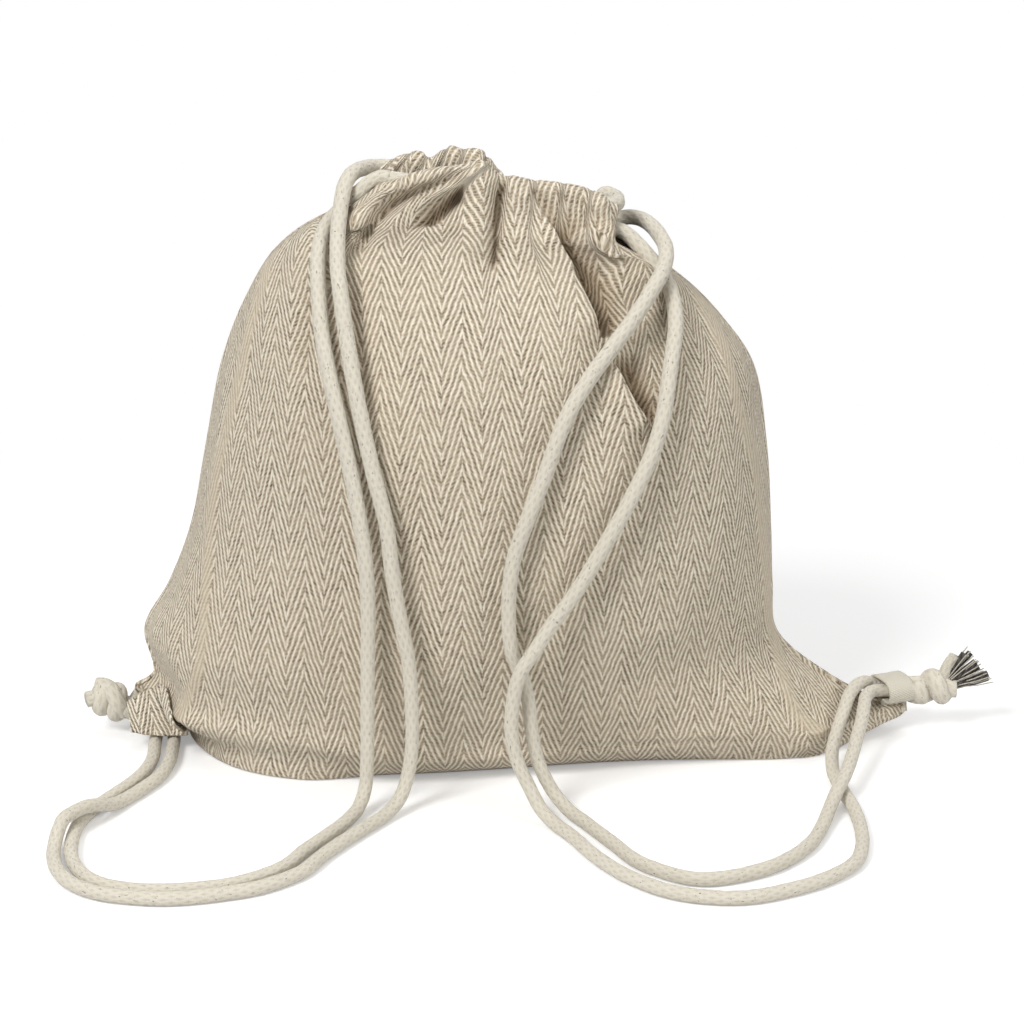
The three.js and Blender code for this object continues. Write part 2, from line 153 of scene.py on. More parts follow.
def ringFrames(line):
    # a frame that doesn't twist along the line
    tangent = np.gradient(line, axis=0)
    tangent /= np.linalg.norm(tangent, axis=1)[:, None]
    side = np.cross(tangent[0], (0.3, 0.2, 1.0))
    sides = []
    for t in tangent:
        side = side - t * np.dot(side, t)
        side /= np.linalg.norm(side)
        sides.append(side.copy())
    sides = np.array(sides)
    return sides, np.cross(tangent, sides)


def makeTube(name, line, radius, sides, wobble=0.0, seed=0.0, flatness=0.0):
    # a closed tube round the line; its uvs run once round and along it in metres
    wobbleLength, wobbleRound = 5.0, 1.3
    across, up = ringFrames(line)
    rings = len(line)
    radii = np.broadcast_to(np.asarray(radius, float), (rings,))
    along = lengthAlong(line)
    points, uvs = [], []
    for i in range(rings):
        for j, turn in enumerate(np.linspace(0, 2 * math.pi, sides + 1)):
            a, b = math.cos(turn), math.sin(turn)
            spot = (along[i] / wobbleLength, a * wobbleRound + seed, b * wobbleRound)
            bump = 1 + wobble * noise.noise(Vector(spot))
            outward = across[i] * (a * (1 + flatness)) + up[i] * (b * (1 - flatness))
            points.append(line[i] + outward * radii[i] * bump)
            uvs.append((j / sides, along[i] / 1000.0))
    faces = gridFaces(rings, sides + 1)
    for ring, centre in ((0, line[0]), (rings - 1, line[-1])):
        points.append(centre)
        uvs.append((0.5, along[ring] / 1000.0))
        hub = len(points) - 1
        for first in range(ring * (sides + 1), ring * (sides + 1) + sides):
            faces.append((hub, first + 1, first) if ring == 0 else (hub, first, first + 1))
    piece = makeMesh(name, points, faces, uvs)
    mergeSeam(piece)
    return piece


def mergeSeam(piece):
    # the uv seam keeps its own uvs, which belong to the corners, when the points along it are merged
    work = bmesh.new()
    work.from_mesh(piece.data)
    bmesh.ops.remove_doubles(work, verts=work.verts, dist=0.00001)
    bmesh.ops.recalc_face_normals(work, faces=work.faces)
    work.to_mesh(piece.data)
    work.free()


# cords: four strands outside the bag, from the casing mouths to the knots

# half thicknesses of the slack cord on the floor and of the drawn cord, and how far the gathers squeeze it
cordSettings = {"thickness": 7.0, "slack": 3.15, "drawn": 3.6, "squeeze": 1.6, "drawnOver": (10, 200),
                "floorBelow": 60, "sides": 20, "step": 1.4, "wobble": 0.04}

strandRoutes = {  # metres, from the casing mouth to the knot
    "leftFrontStrand": [
        (-0.05724, -0.014, 0.27633), (-0.06091, -0.014, 0.27678), (-0.0666, -0.0145, 0.2743),
        (-0.071, -0.015, 0.2697), (-0.0756, -0.0143, 0.2653), (-0.0802, -0.0156, 0.2618),
        (-0.0846, -0.021, 0.2578), (-0.0878, -0.03, 0.2523), (-0.0888, -0.0395, 0.2452),
        (-0.0885, -0.049, 0.2365), (-0.0875, -0.058, 0.2265), (-0.0862, -0.0655, 0.216),
        (-0.082, -0.077, 0.197), (-0.0775, -0.0855, 0.179), (-0.0705, -0.0945, 0.147),
        (-0.0665, -0.0995, 0.12), (-0.0655, -0.1005, 0.098), (-0.066, -0.1005, 0.076),
        (-0.0665, -0.1005, 0.05), (-0.067, -0.1005, 0.026), (-0.068, -0.102, 0.012),
        (-0.0705, -0.108, 0.0055), (-0.075, -0.12, 0.0038), (-0.083, -0.137, 0.0037),
        (-0.091, -0.152, 0.0037), (-0.1015, -0.174, 0.0037), (-0.1185, -0.189, 0.0037),
        (-0.136, -0.195, 0.0037), (-0.1545, -0.1967, 0.0037), (-0.172, -0.193, 0.0037),
        (-0.184, -0.1835, 0.0037), (-0.192, -0.168, 0.0037), (-0.1955, -0.152, 0.0037),
        (-0.1965, -0.133, 0.0037), (-0.1945, -0.1165, 0.0037), (-0.1897, -0.1025, 0.0037),
        (-0.1833, -0.088, 0.0037), (-0.177, -0.0733, 0.0037), (-0.173, -0.0575, 0.0037),
        (-0.172, -0.042, 0.0037), (-0.173, -0.029, 0.0038), (-0.1735, -0.018, 0.0041),
        (-0.1738, -0.0095, 0.0054), (-0.1766, -0.0046, 0.0074), (-0.17984, -0.00375, 0.0092),
        (-0.18504, -0.00375, 0.0122), (-0.1892, -0.00375, 0.0146),
    ],
    "leftBackStrand": [
        (-0.05724, 0.014, 0.27633), (-0.06091, 0.014, 0.27678), (-0.0663, 0.01, 0.2774),
        (-0.0702, 0.0028, 0.278), (-0.074, -0.0066, 0.2778), (-0.0771, -0.0162, 0.2748),
        (-0.0787, -0.0232, 0.2686), (-0.0795, -0.0286, 0.262), (-0.08, -0.0345, 0.256),
        (-0.08, -0.0415, 0.2495), (-0.0796, -0.0495, 0.242), (-0.0783, -0.057, 0.235),
        (-0.0763, -0.0655, 0.2225), (-0.0698, -0.083, 0.189), (-0.0625, -0.093, 0.1575),
        (-0.057, -0.0975, 0.136), (-0.0548, -0.1, 0.116), (-0.0515, -0.101, 0.094), (-0.048, -0.101, 0.075),
        (-0.0465, -0.101, 0.054), (-0.0465, -0.101, 0.033), (-0.0485, -0.102, 0.018),
        (-0.052, -0.1055, 0.0085), (-0.0575, -0.1135, 0.0042), (-0.065, -0.126, 0.0037),
        (-0.074, -0.141, 0.0037), (-0.0835, -0.1585, 0.0037), (-0.0925, -0.178, 0.0037),
        (-0.109, -0.1935, 0.0037), (-0.1215, -0.199, 0.0037), (-0.1355, -0.2033, 0.0037),
        (-0.149, -0.205, 0.0037), (-0.163, -0.2035, 0.0037), (-0.178, -0.1988, 0.0037),
        (-0.1903, -0.1888, 0.0037), (-0.1983, -0.1745, 0.0037), (-0.2023, -0.158, 0.0043),
        (-0.202, -0.1465, 0.0086), (-0.2005, -0.137, 0.0113), (-0.197, -0.1295, 0.0115),
        (-0.193, -0.123, 0.0112), (-0.1883, -0.1153, 0.009), (-0.1835, -0.1065, 0.0054),
        (-0.179, -0.0965, 0.0037), (-0.1715, -0.0815, 0.0037), (-0.1658, -0.0665, 0.0037),
        (-0.1636, -0.0505, 0.0037), (-0.1638, -0.0335, 0.0037), (-0.1648, -0.018, 0.0038),
        (-0.166, -0.006, 0.0042), (-0.1708, 0.0018, 0.0059), (-0.17984, 0.00375, 0.0092),
        (-0.18504, 0.00375, 0.0122), (-0.1892, 0.00375, 0.0146),
    ],
    "rightFrontStrand": [
        (0.04524, -0.014, 0.25267), (0.04891, -0.014, 0.25222), (0.0535, -0.0153, 0.2493),
        (0.0585, -0.0176, 0.2446), (0.0632, -0.0208, 0.2396), (0.0675, -0.0252, 0.2346),
        (0.071, -0.0315, 0.229), (0.073, -0.0395, 0.2225), (0.0732, -0.0495, 0.214),
        (0.0705, -0.064, 0.201), (0.0665, -0.077, 0.179), (0.0623, -0.0825, 0.166), (0.0545, -0.089, 0.15),
        (0.0425, -0.095, 0.129), (0.0285, -0.099, 0.106), (0.0152, -0.103, 0.088), (0.009, -0.1065, 0.079),
        (0.003, -0.1083, 0.07), (0.0003, -0.1083, 0.061), (-0.0013, -0.108, 0.046),
        (-0.0005, -0.108, 0.0355), (0.002, -0.1085, 0.026), (0.0065, -0.1105, 0.0165),
        (0.012, -0.116, 0.0075), (0.018, -0.1245, 0.004), (0.0255, -0.138, 0.0037),
        (0.036, -0.1615, 0.0037), (0.05, -0.183, 0.0037), (0.07, -0.1995, 0.0037), (0.096, -0.204, 0.0037),
        (0.12, -0.1945, 0.0037), (0.138, -0.181, 0.0037), (0.149, -0.1665, 0.0037), (0.154, -0.148, 0.0037),
        (0.1555, -0.126, 0.0037), (0.1545, -0.103, 0.0037), (0.1515, -0.082, 0.0039),
        (0.1495, -0.067, 0.0058), (0.1505, -0.0525, 0.01), (0.154, -0.0395, 0.015), (0.1583, -0.0265, 0.02),
        (0.1628, -0.0135, 0.0246), (0.1682, -0.0038, 0.0262), (0.1736, 0.0026, 0.0244),
        (0.1794, 0.00375, 0.0226), (0.1864, 0.00375, 0.0226), (0.192, 0.00375, 0.0226),
    ],
    "rightBackStrand": [
        (0.04524, 0.014, 0.25267), (0.04891, 0.014, 0.25222), (0.0545, 0.0125, 0.2532),
        (0.06, 0.0085, 0.2528), (0.0645, 0.0015, 0.2508), (0.0678, -0.008, 0.248),
        (0.0696, -0.0175, 0.2454), (0.0696, -0.027, 0.2422), (0.0673, -0.0365, 0.2372),
        (0.0618, -0.047, 0.2305), (0.054, -0.058, 0.221), (0.0435, -0.0695, 0.2095),
        (0.033, -0.0795, 0.1975), (0.023, -0.088, 0.182), (0.0135, -0.095, 0.1575), (0.0065, -0.0987, 0.14),
        (-0.0005, -0.1003, 0.119), (-0.0025, -0.1005, 0.094), (-0.001, -0.1005, 0.077),
        (0.003, -0.1005, 0.067), (0.0065, -0.1005, 0.053), (0.008, -0.1005, 0.039), (0.011, -0.101, 0.024),
        (0.018, -0.104, 0.0105), (0.025, -0.112, 0.0048), (0.032, -0.123, 0.0037), (0.0435, -0.146, 0.0037),
        (0.056, -0.169, 0.0037), (0.08, -0.185, 0.0037), (0.106, -0.176, 0.0037), (0.12, -0.1635, 0.0037),
        (0.1315, -0.146, 0.0037), (0.1385, -0.127, 0.0039), (0.1435, -0.111, 0.006),
        (0.148, -0.0985, 0.009), (0.153, -0.0855, 0.0116), (0.1575, -0.07, 0.0138), (0.162, -0.052, 0.0166),
        (0.166, -0.036, 0.0194), (0.1686, -0.0225, 0.0215), (0.171, -0.011, 0.0223),
        (0.1746, -0.005, 0.0226), (0.1794, -0.00375, 0.0226), (0.1864, -0.00375, 0.0226),
        (0.192, -0.00375, 0.0226),
    ],
}


# the left cord runs above the middle of the casings, and the right cord below it
runs = {"entry": 53.0, "end": 45.0, "reach": 8.5, "lift": 5.5, "sink": 3.5, "seam": 0.4,
        "squeezedOver": (36, 46), "seed": 9.0}


def runRoute(turnSide, side):
    # through one casing and half way round the turn, which lies close inside the gathered end
    entry, end, reach, lane = runs["entry"], runs["end"], runs["reach"], mouth["lipGap"]
    plan = [(-entry, lane), (-entry * 0.6, lane), (0, lane), (end * 0.6, lane), (end, lane),
            (end + reach * 0.4, lane - 0.4), (end + reach * 0.8, lane - 3.5), (end + reach, lane - 8),
            (end + reach, lane - 11), (end + reach, runs["seam"])]
    # behind, the left cord sinks into the slack right half of its casing
    sink = runs["sink"] if turnSide > 0 and side > 0 else 0
    return [lipPoint(turnSide * x, side * y, turnSide * runs["lift"] - (sink if 0 < x <= end else 0))
            for x, y in plan]


def cordTube(name, line, radius, seed):
    return makeTube(name, line, radius, cordSettings["sides"], cordSettings["wobble"], seed)


def strandPiece(name, route, seed):
    # drawn tight near the mouth, slack and a little thinner on the floor
    line, length = routeLine(np.array(route) * 1000, cordSettings["step"])
    drawn = smoothStep(line[:, 2], *cordSettings["drawnOver"])
    radius = cordSettings["slack"] + (cordSettings["drawn"] - cordSettings["slack"]) * drawn
    line[:, 2] -= (cordSettings["thickness"] / 2 - radius) * (line[:, 2] < cordSettings["floorBelow"])
    return {"piece": cordTube(name, line, radius, seed), "line": line, "length": length}


def runPiece(name, turnSide, side):
    # squeezed by the gathers where the cloth hides it
    line, _ = routeLine(runRoute(turnSide, side), cordSettings["step"])
    squeezed = 1 - smoothStep(np.abs(line[:, 0] - mouth["centre"][0]), *runs["squeezedOver"])
    return cordTube(name, line, cordSettings["drawn"] - cordSettings["squeeze"] * squeezed, runs["seed"])


# the left cord turns at the right end of the mouth, and the right cord at the left end
cords = [
    {"name": hand + sheet, "out": out, "side": side, "lip": sheet.lower() + "_lip",
     "node": hand + "_cord_" + sheet.lower()}
    for hand, out in (("left", -1), ("right", 1)) for sheet, side in (("Front", -1), ("Back", 1))
]
for seed, cord in enumerate(cords):
    strandName = cord["name"] + "Strand"
    cord.update(strandPiece(strandName, strandRoutes[strandName], seed))
for cord in cords:
    cord["run"] = runPiece(cord["name"] + "Run", -cord["out"], cord["side"])
print("cords made:", {cord["name"]: round(cord["length"]) for cord in cords})

# cloth: one sheet in front and one behind, each with its casing, from the hem down to the bottom seam

cloth = {"columns": 400, "lipRows": 72, "bodySteps": 18, "baseRows": 10, "sectionsSkipped": 1.3,
         "evenUntil": (0.8, 3.4), "lean": 0.2, "leanFrom": (7, 11), "base": 0.6, "clear": 0.55,
         "thickness": 0.9, "halfFlat": 190.0, "plumbLine": -14.0, "bandWidth": 5.0, "bandHeight": 0.6,
         "sunk": 1.2, "neckAbove": 19, "neckBelow": 17, "neckEasing": 14}
# side seams from the neck to the base: left x, left z, right x, right z
sideSeams = [
    (-65, 256.5, 44.1, 246), (-86, 257.5, 59, 240), (-110.5, 242, 80, 226), (-126, 218, 98, 208),
    (-138, 188, 113, 186), (-147, 146, 120.5, 146), (-155.5, 106, 123.5, 106), (-167, 77, 125, 77),
    (-179.5, 54, 128, 52), (-176, 31, 153, 30), (-184.5, 23, 179, 16), (-178.5, 17.4, 190, 13),
    (-163.5, 10.5, 190, 9), (-159, 0, 168, 0),
]
# half depth, and how round each section is
sectionForms = [
    (19.5, 8, 0.5), (27.5, 5, 0.5), (47.5, 3, 0.5), (67.5, 2.4, 0.5), (82.7, 2.2, 0.5), (93, 2.2, 0.5),
    (95, 2.2, 0.5), (93, 2.2, 0.5), (88.4, 2.4, 0.6), (78.9, 3, 1), (72.2, 4, 1.3), (69.4, 4, 1.4),
    (66.5, 4, 1.5), (48, 8, 0.8),
]


def smoothCurve(points, t):
    # the same curve, read at t from 0 to 1 with the same share for each stretch
    p = withEnds(points)
    at = np.clip(t, 0, 1) * (len(p) - 3)
    k = np.minimum(at.astype(int), len(p) - 4)
    return curveBetween(p[k], p[k + 1], p[k + 2], p[k + 3], (at - k)[:, None])


def sheetName(side):
    return "front" if side < 0 else "back"


def ease(values, times):
    # each row between the first and the last moves half way to the mean of its neighbours
    for _ in range(times):
        values[1:-1] = values[1:-1] * 0.5 + (values[:-2] + values[2:]) * 0.25


def noiseField(points, size, seed):
    # soft noise over an array of points, one value for each
    flat = np.asarray(points, float).reshape(-1, 3) / size
    values = [noise.noise(Vector((p[0] + seed, p[1], p[2]))) for p in flat]
    return np.array(values).reshape(np.asarray(points).shape[:-1])


# how far the top of each lip stands above an even one, along the mouth
mouthLift = {
    "x": [-52, -47, -42, -38, -35, -31, -26, -22, -18, -13, -9, -6, -2, 4, 12, 22, 35, 44, 52],
    "front": [-3, -2, -0.5, 1.5, 2, 3, 3.5, 4, 5, 7.5, 7, 5, 1, 2, 1, 1.5, 1, -1, -4],
    "back": [1, 4, 6, 5, 1.5, 5, 8.5, 6.5, 7, 7.6, 5.5, 2, -2, -5, -7, -7.5, -8, -8, -8],
}


# each casing is a roll over its cords, and its open ends close in on them: lower, flatter and shifted. The
# left end also slumps and slants over the shoulder, and its two sides come together just above the seam.
casing = {"roll": 6.3, "middle": 5.5, "step": 0.4, "smoothed": 17, "endFrom": 0.88, "lower": 0.14,
          "flatter": 0.22, "leftShift": -4.6, "rightShift": 1.6, "slumpFrom": 0.3, "slump": 3.6,
          "slant": 0.78, "crest": 11.8, "closedFrom": 0.9, "closed": 0.9}


def lipProfile(steps):
    # from the hem's inner edge over the lip to the neck: y towards the outside, z up, in the lip's frame
    path = [(-6.4, -11.5), (-6.8, -8), (-6.6, -3), (-6.2, 2)]
    for i in range(9):
        turn = math.pi * i / 8
        path.append((-casing["roll"] * math.cos(turn), casing["middle"] + casing["roll"] * math.sin(turn)))
    # the outer side runs out into the shoulder without a waist
    path += [(6.9, 2.5), (8.8, -2), (12.4, -7), (18, -11.8)]
    line, _ = routeLine([(y, 0, z) for y, z in path], casing["step"])
    pick = np.linspace(0, len(line) - 1, steps).round().astype(int)
    return line[pick][:, [0, 2]]


def lipShape(side):
    # rows of points from the inner hem to the neck
    share = np.linspace(-1, 1, cloth["columns"] + 1)
    end = smoothStep(np.abs(share), casing["endFrom"], 1.0)
    slump = smoothStep(-share, casing["slumpFrom"], 1.0)
    shift = np.where(share < 0, casing["leftShift"], casing["rightShift"]) * end
    lift = np.interp(share * mouth["halfWidth"], mouthLift["x"], mouthLift[sheetName(side)])
    window = casing["smoothed"]
    lift = np.convolve(np.pad(lift, window // 2, mode="edge"), np.ones(window) / window, mode="valid")
    rows = []
    for outward, height in lipProfile(cloth["lipRows"]):
        near = height * (1 - casing["lower"] * end) + lift * smoothStep(height, -12, 9)
        near -= casing["slump"] * slump
        x = share * mouth["halfWidth"] + slump * (height - casing["crest"]) * casing["slant"] + shift
        y = mouth["lipGap"] + outward * (1 - casing["flatter"] * end)
        closed = smoothStep(-share, casing["closedFrom"], 1.0) * smoothStep(-height, 5, 11)
        y = y * (1 - closed) + casing["closed"] * closed
        rows.append(np.stack(lipPoint(x, side * y, near), axis=1))
    return rows


# below this section the filled cloth runs straight down to the floor, except at the pinched corners
foot = {"section": 8, "spread": 0.17, "bow": 2.5, "spreadOver": (-100.0, -55.0), "easedFrom": 7,
        "easing": 160, "soft": 2.0, "fade": 0.2, "leftCorner": (-170.0, -157.0),
        "rightCorner": (138.0, 160.0)}


def standOnFoot(rows, side):
    top, sole = rows[0].copy(), rows[-1].copy()
    for row in rows[1:]:
        up = np.clip(row[:, 2] / top[:, 2], 0, 1)
        full = 1 - smoothStep(row[:, 0], *foot["spreadOver"])
        wanted = np.abs(top[:, 1]) * up + (1 + foot["spread"] * full) * np.abs(sole[:, 1]) * (1 - up)
        more = wanted + foot["bow"] * full * np.sin(math.pi * up) - np.abs(row[:, 1])
        # never inwards, with a soft start
        more = 0.5 * (more + np.sqrt(more ** 2 + foot["soft"] ** 2))
        fromLeft = smoothStep(row[:, 0], *foot["leftCorner"])
        fromRight = 1 - smoothStep(row[:, 0], *foot["rightCorner"])
        row[:, 1] += side * more * fromLeft * fromRight * smoothStep(1 - up, 0, foot["fade"])


def clothSheet(side):
    # rows of points from the inner hem to the bottom seam
    n, lipRows, bodySteps = cloth["columns"], cloth["lipRows"], cloth["bodySteps"]
    rows = lipShape(side)
    sections = len(sideSeams) - 1
    skipped = round(cloth["sectionsSkipped"] * bodySteps)
    t = np.linspace(0, 1, sections * bodySteps + 1)[skipped:]
    left = smoothCurve([(row[0], 0, row[1]) for row in sideSeams], t)
    right = smoothCurve([(row[2], 0, row[3]) for row in sideSeams], t)
    # columns sit closer together near the seams, and evenly at the mouth
    share = np.linspace(-1, 1, n + 1)
    crowded = -np.cos(math.pi * np.arange(n + 1) / n)
    forms = smoothCurve(sectionForms, t)
    for place, start, end, (depth, bow, pinched) in zip(t * sections, left, right, forms):
        even = 1 - smoothStep(place, *cloth["evenUntil"])
        a = share * even + crowded * (1 - even)
        swell = np.maximum(0, 1 - np.abs(a) ** bow) ** pinched
        lean = 1 - cloth["lean"] * smoothStep(place, *cloth["leanFrom"]) * np.sin(math.pi * a)
        edge = 0.6 + 1.2 * min(max(pinched - 0.5, 0), 1)
        y = side * (edge + (depth * lean - edge) * swell)
        middle, reach = (start + end) / 2, (end - start) / 2
        rows.append(np.stack([middle[0] + reach[0] * a, y, middle[2] + reach[2] * a], axis=1))
    standOnFoot(rows[lipRows + foot["section"] * bodySteps - skipped:], side)
    # the bend where the face turns down to the floor is eased
    low = lipRows + foot["easedFrom"] * bodySteps - skipped
    outward = np.array(rows[low:])[:, :, 1]
    ease(outward, foot["easing"])
    for row, y in zip(rows[low:], outward):
        row[:, 1] = y
    last = rows[-1]
    for i in range(1, cloth["baseRows"] + 1):
        fold = last.copy()
        fold[:, 1] = last[:, 1] * (1 - i / cloth["baseRows"])
        fold[:, 2] = cloth["base"]
        rows.append(fold)
    grid = np.array(rows)
    # the neck is eased, so that lip and shoulder run into each other
    ease(grid[lipRows - cloth["neckAbove"]:lipRows + cloth["neckBelow"]], cloth["neckEasing"])
    return grid


def seenFromFront(grid):
    # where each point shows, in millimetres on the picture plane through the camera's target
    rise = math.radians(camera["elevation"])
    away = grid - np.array(camera["target"]) * 1000
    depth = away[..., 1] * math.cos(rise) - away[..., 2] * math.sin(rise)
    scale = camera["distance"] * 1000 / (camera["distance"] * 1000 + depth)
    return away[..., 0] * scale, (away[..., 1] * math.sin(rise) + away[..., 2] * math.cos(rise)) * scale


def sheetNormals(grid, side):
    down = np.gradient(grid, axis=0)
    along = np.gradient(grid, axis=1)
    normal = np.cross(down, along) * -side
    size = np.linalg.norm(normal, axis=2, keepdims=True)
    return normal / np.maximum(size, 1e-9)


# folds and creases: kind, height, width and path. In front the paths lie on the picture plane, in millimetres
# from the camera's target. "groove" sinks, "ridge" rises, and "step" is an overlap: the cloth on the right of
# its path lies on top. The first one is the roll over the pocket at the left end of the mouth.
topRoll = [(-20, 165), (-30, 161.5), (-39.5, 158), (-48, 154.5), (-54.5, 151), (-61, 147), (-66.5, 141),
           (-72.5, 134), (-78, 125.5), (-80.5, 120)]
frontFolds = [
    ("step", 7.0, 8.0, topRoll),
    ("groove", 3.5, 2.4, [(-50, 153.5), (-55, 151), (-60, 147.5), (-65, 143)]),
    ("ridge", 3.0, 5.5, [(-20, 164), (-34.5, 163), (-49, 159), (-59.5, 151.5), (-69, 142.5), (-76, 132.5)]),
    ("ridge", 3.6, 5.0, [(-26, 157.5), (-36.5, 153), (-45, 148.5), (-54, 141), (-61.5, 132.5), (-69, 120)]),
    ("step", 8.0, 7.0, [(-22, 158.5), (-26.5, 154.5), (-32, 151), (-38, 147), (-44, 141), (-49.5, 136)]),
    ("groove", 6.5, 3.8, [(-23.5, 154.5), (-27, 150), (-31, 146), (-36.5, 141.5), (-42, 138)]),
    ("ridge", 2.0, 5.0, [(-22, 149.5), (-26, 143.5), (-31.5, 138.5), (-39.5, 135.5), (-48, 133.5)]),
    ("ridge", 5.5, 6.5, [(-12.5, 167), (-13.5, 161.5), (-15, 153.5), (-16.5, 144), (-18, 132.5),
        (-20, 116)]),
    ("groove", 7.5, 2.8, [(-2, 163), (-3.5, 158.5), (-5.5, 153.5), (-6.5, 147), (-7.5, 137.5), (-8, 125.5),
        (-9, 113.5)]),
    ("ridge", 3.0, 5.5, [(3, 161.5), (2, 153.5), (3, 143), (6, 130.5), (9.5, 113.5)]),
    ("step", 5.5, 7.0, [(7, 157), (10, 151.5), (14.5, 144.5), (20, 135.5)]),
    ("step", 5.0, 6.5, [(22.5, 131), (29.5, 134), (36, 135), (41.5, 131.5), (47, 125.5), (53, 120),
        (61.5, 115)]),
    ("step", 14.0, 13.0, [(16.5, 142), (20.5, 134.5), (25, 126.5), (30, 115), (36.5, 101.5), (41.5, 91),
        (45, 81.5)]),
    ("groove", 6.5, 8.0, [(30.5, 120), (36.5, 110.5), (44, 97), (50, 84.5)]),
    ("ridge", 6.0, 7.0, [(24, 127.5), (30, 130.5), (37.5, 130), (45, 125.5), (54, 118), (64, 111),
        (77, 103.5)]),
    ("groove", 4.5, 5.5, [(37.5, 117), (46, 110.5), (57.5, 102.5), (68.5, 96)]),
    ("step", 11.0, 12.0, [(48, 75), (53, 65.5), (58.5, 54.5), (64.5, 46), (69, 38.5)]),
    ("groove", 4.5, 7.0, [(56.5, 77), (60.5, 64.5), (66, 53), (71, 42)]),
    ("groove", 2.2, 2.4, [(23, 155.5), (24.5, 149), (28, 141)]),
    ("groove", 2.2, 2.4, [(32.5, 154.5), (34, 148), (36.5, 140)]),
    ("ridge", 3.2, 5.0, [(41.5, 151.5), (43, 144), (45.5, 136.5), (48, 128.5)]),
    ("groove", 3.0, 6.0, [(-94, 113.5), (-96.5, 98), (-99, 86), (-99, 70), (-98, 62.5)]),
    ("groove", 3.0, 6.0, [(-78, 120), (-77, 101.5), (-74.5, 78), (-72, 58), (-67.5, 42)]),
    ("ridge", 2.0, 6.0, [(-85.5, 120), (-87, 101.5), (-85.5, 78), (-81.5, 58)]),
]
backFolds = [
    ("ridge" if i % 2 else "groove", 2.6, 4.2,
     [(-54 + 10.5 * i, 278 - 1.9 * i), (-56 + 11.2 * i, 258 - 1.5 * i), (-66 + 13.2 * i, 236),
      (-74 + 14.6 * i, 208)])
    for i in range(10)
]


def nearestOn(path, spacing, x, z):
    # how far off the path each point is, on which side, and how far along; and the length of the path
    line, _ = routeLine([(a, 0, b) for a, b in path], spacing)
    line = line[:, [0, 2]]
    nearest, hand, place = np.full(x.shape, 1e9), np.ones(x.shape), np.zeros(x.shape)
    done = 0.0
    for a, b in zip(line[:-1], line[1:]):
        step = b - a
        length = np.hypot(*step)
        s = np.clip(((x - a[0]) * step[0] + (z - a[1]) * step[1]) / length ** 2, 0, 1)
        dx, dz = x - a[0] - s * step[0], z - a[1] - s * step[1]
        distance = np.hypot(dx, dz)
        closer = distance < nearest
        nearest = np.where(closer, distance, nearest)
        hand = np.where(closer, np.sign(step[0] * dz - step[1] * dx), hand)
        place = np.where(closer, done + s * length, place)
        done += length
    return nearest, hand, place, done


def bell(distance, width):
    return np.exp(-(distance / width) ** 2)


def foldField(x, z, folds):
    total = np.zeros_like(x)
    for kind, height, width, path in folds:
        nearest, hand, place, length = nearestOn(path, 3.0, x, z)
        fade = smoothStep(np.minimum(place, length - place), -0.5, 0.2 * length)
        if kind == "step":
            # a sharp edge, and a hollow beside it
            top = 1 / (1 + np.exp(np.clip(nearest * hand / 0.5, -40, 40)))
            shape = top * bell(nearest, width) * 0.55 - (1 - top) * bell(nearest, 0.7 * width) * 0.7
        elif kind == "ridge":
            shape = bell(nearest, width)
        else:
            shape = 0.25 * bell(nearest, 2.2 * width) - bell(nearest, width)
        total += height * fade * shape
    return total


# gathers: where each fold lies as a share of the cloth's half width, how deep it is, and how far down it runs
gathers = {
    "front": [(0.03, 1.0, 40), (0.26, 1.4, 30), (0.50, 1.2, 26), (0.74, 1.4, 30)],
    "back": [(-0.92, 1.4, 30), (-0.80, 1.8, 40), (-0.66, 1.2, 30), (-0.50, 2.0, 46), (-0.36, 1.4, 30),
             (-0.18, 2.4, 40), (0.02, 2.0, 30), (0.18, 2.4, 50), (0.34, 1.8, 30), (0.48, 2.2, 40),
             (0.64, 2.0, 34), (0.80, 2.4, 40), (0.93, 1.8, 30)],
}
# how much of the flat cloth's surplus width the gathers of the left and of the right half take up. In front,
# at the left, it lies in the slanting rolls instead.
takenUp = {"front": (0.0, 0.16), "back": (0.55, 0.55)}


def arcShare(grid):
    # arc length from the middle column, in millimetres, and as a share of the half width
    along = np.linalg.norm(np.diff(grid, axis=1), axis=2)
    arc = np.concatenate([np.zeros((grid.shape[0], 1)), np.cumsum(along, axis=1)], axis=1)
    middle = grid.shape[1] // 2
    arc = arc - arc[:, middle:middle + 1]
    half = np.where(arc < 0, -arc[:, :1], arc[:, -1:])
    return arc, arc / half, half


def rowsBelow(grid):
    # how far below the neck each row lies, in steps of about 2 mm, which are 13 to a section
    return ((np.arange(len(grid)) - cloth["lipRows"]) * 13.0 / cloth["bodySteps"])[:, None]


# each gather widens on its way down and pushes up the cloth beside it; the hem inside is gathered less
gathering = {"width": 1.5, "widening": 0.07, "beside": 0.42, "besideWidth": 3.0, "hem": 0.35,
             "hemRows": (2, 24)}


def gatherField(grid, side):
    _, share, half = arcShare(grid)
    below = rowsBelow(grid)
    inner = smoothStep(np.arange(len(grid)), *gathering["hemRows"])[:, None]
    width = gathering["width"] + gathering["widening"] * np.clip(below, 0, None)
    total = np.zeros(share.shape)
    for place, depth, reach in gathers[sheetName(side)]:
        fade = np.where(below > 0, 1 - smoothStep(below, 2, reach), 1.0)
        gap = np.abs(share - place) * half
        beside = gathering["beside"] * bell(gap, gathering["besideWidth"] * width)
        total += fade * depth * (beside - bell(gap, width))
    return total * (gathering["hem"] + (1 - gathering["hem"]) * inner)


# uneven softness of the filled cloth: size, seed and height of its broad and its fine part
softness = {"every": 4, "parts": [(62.0, 3.0, 2.6), (24.0, 11.0, 0.8)]}


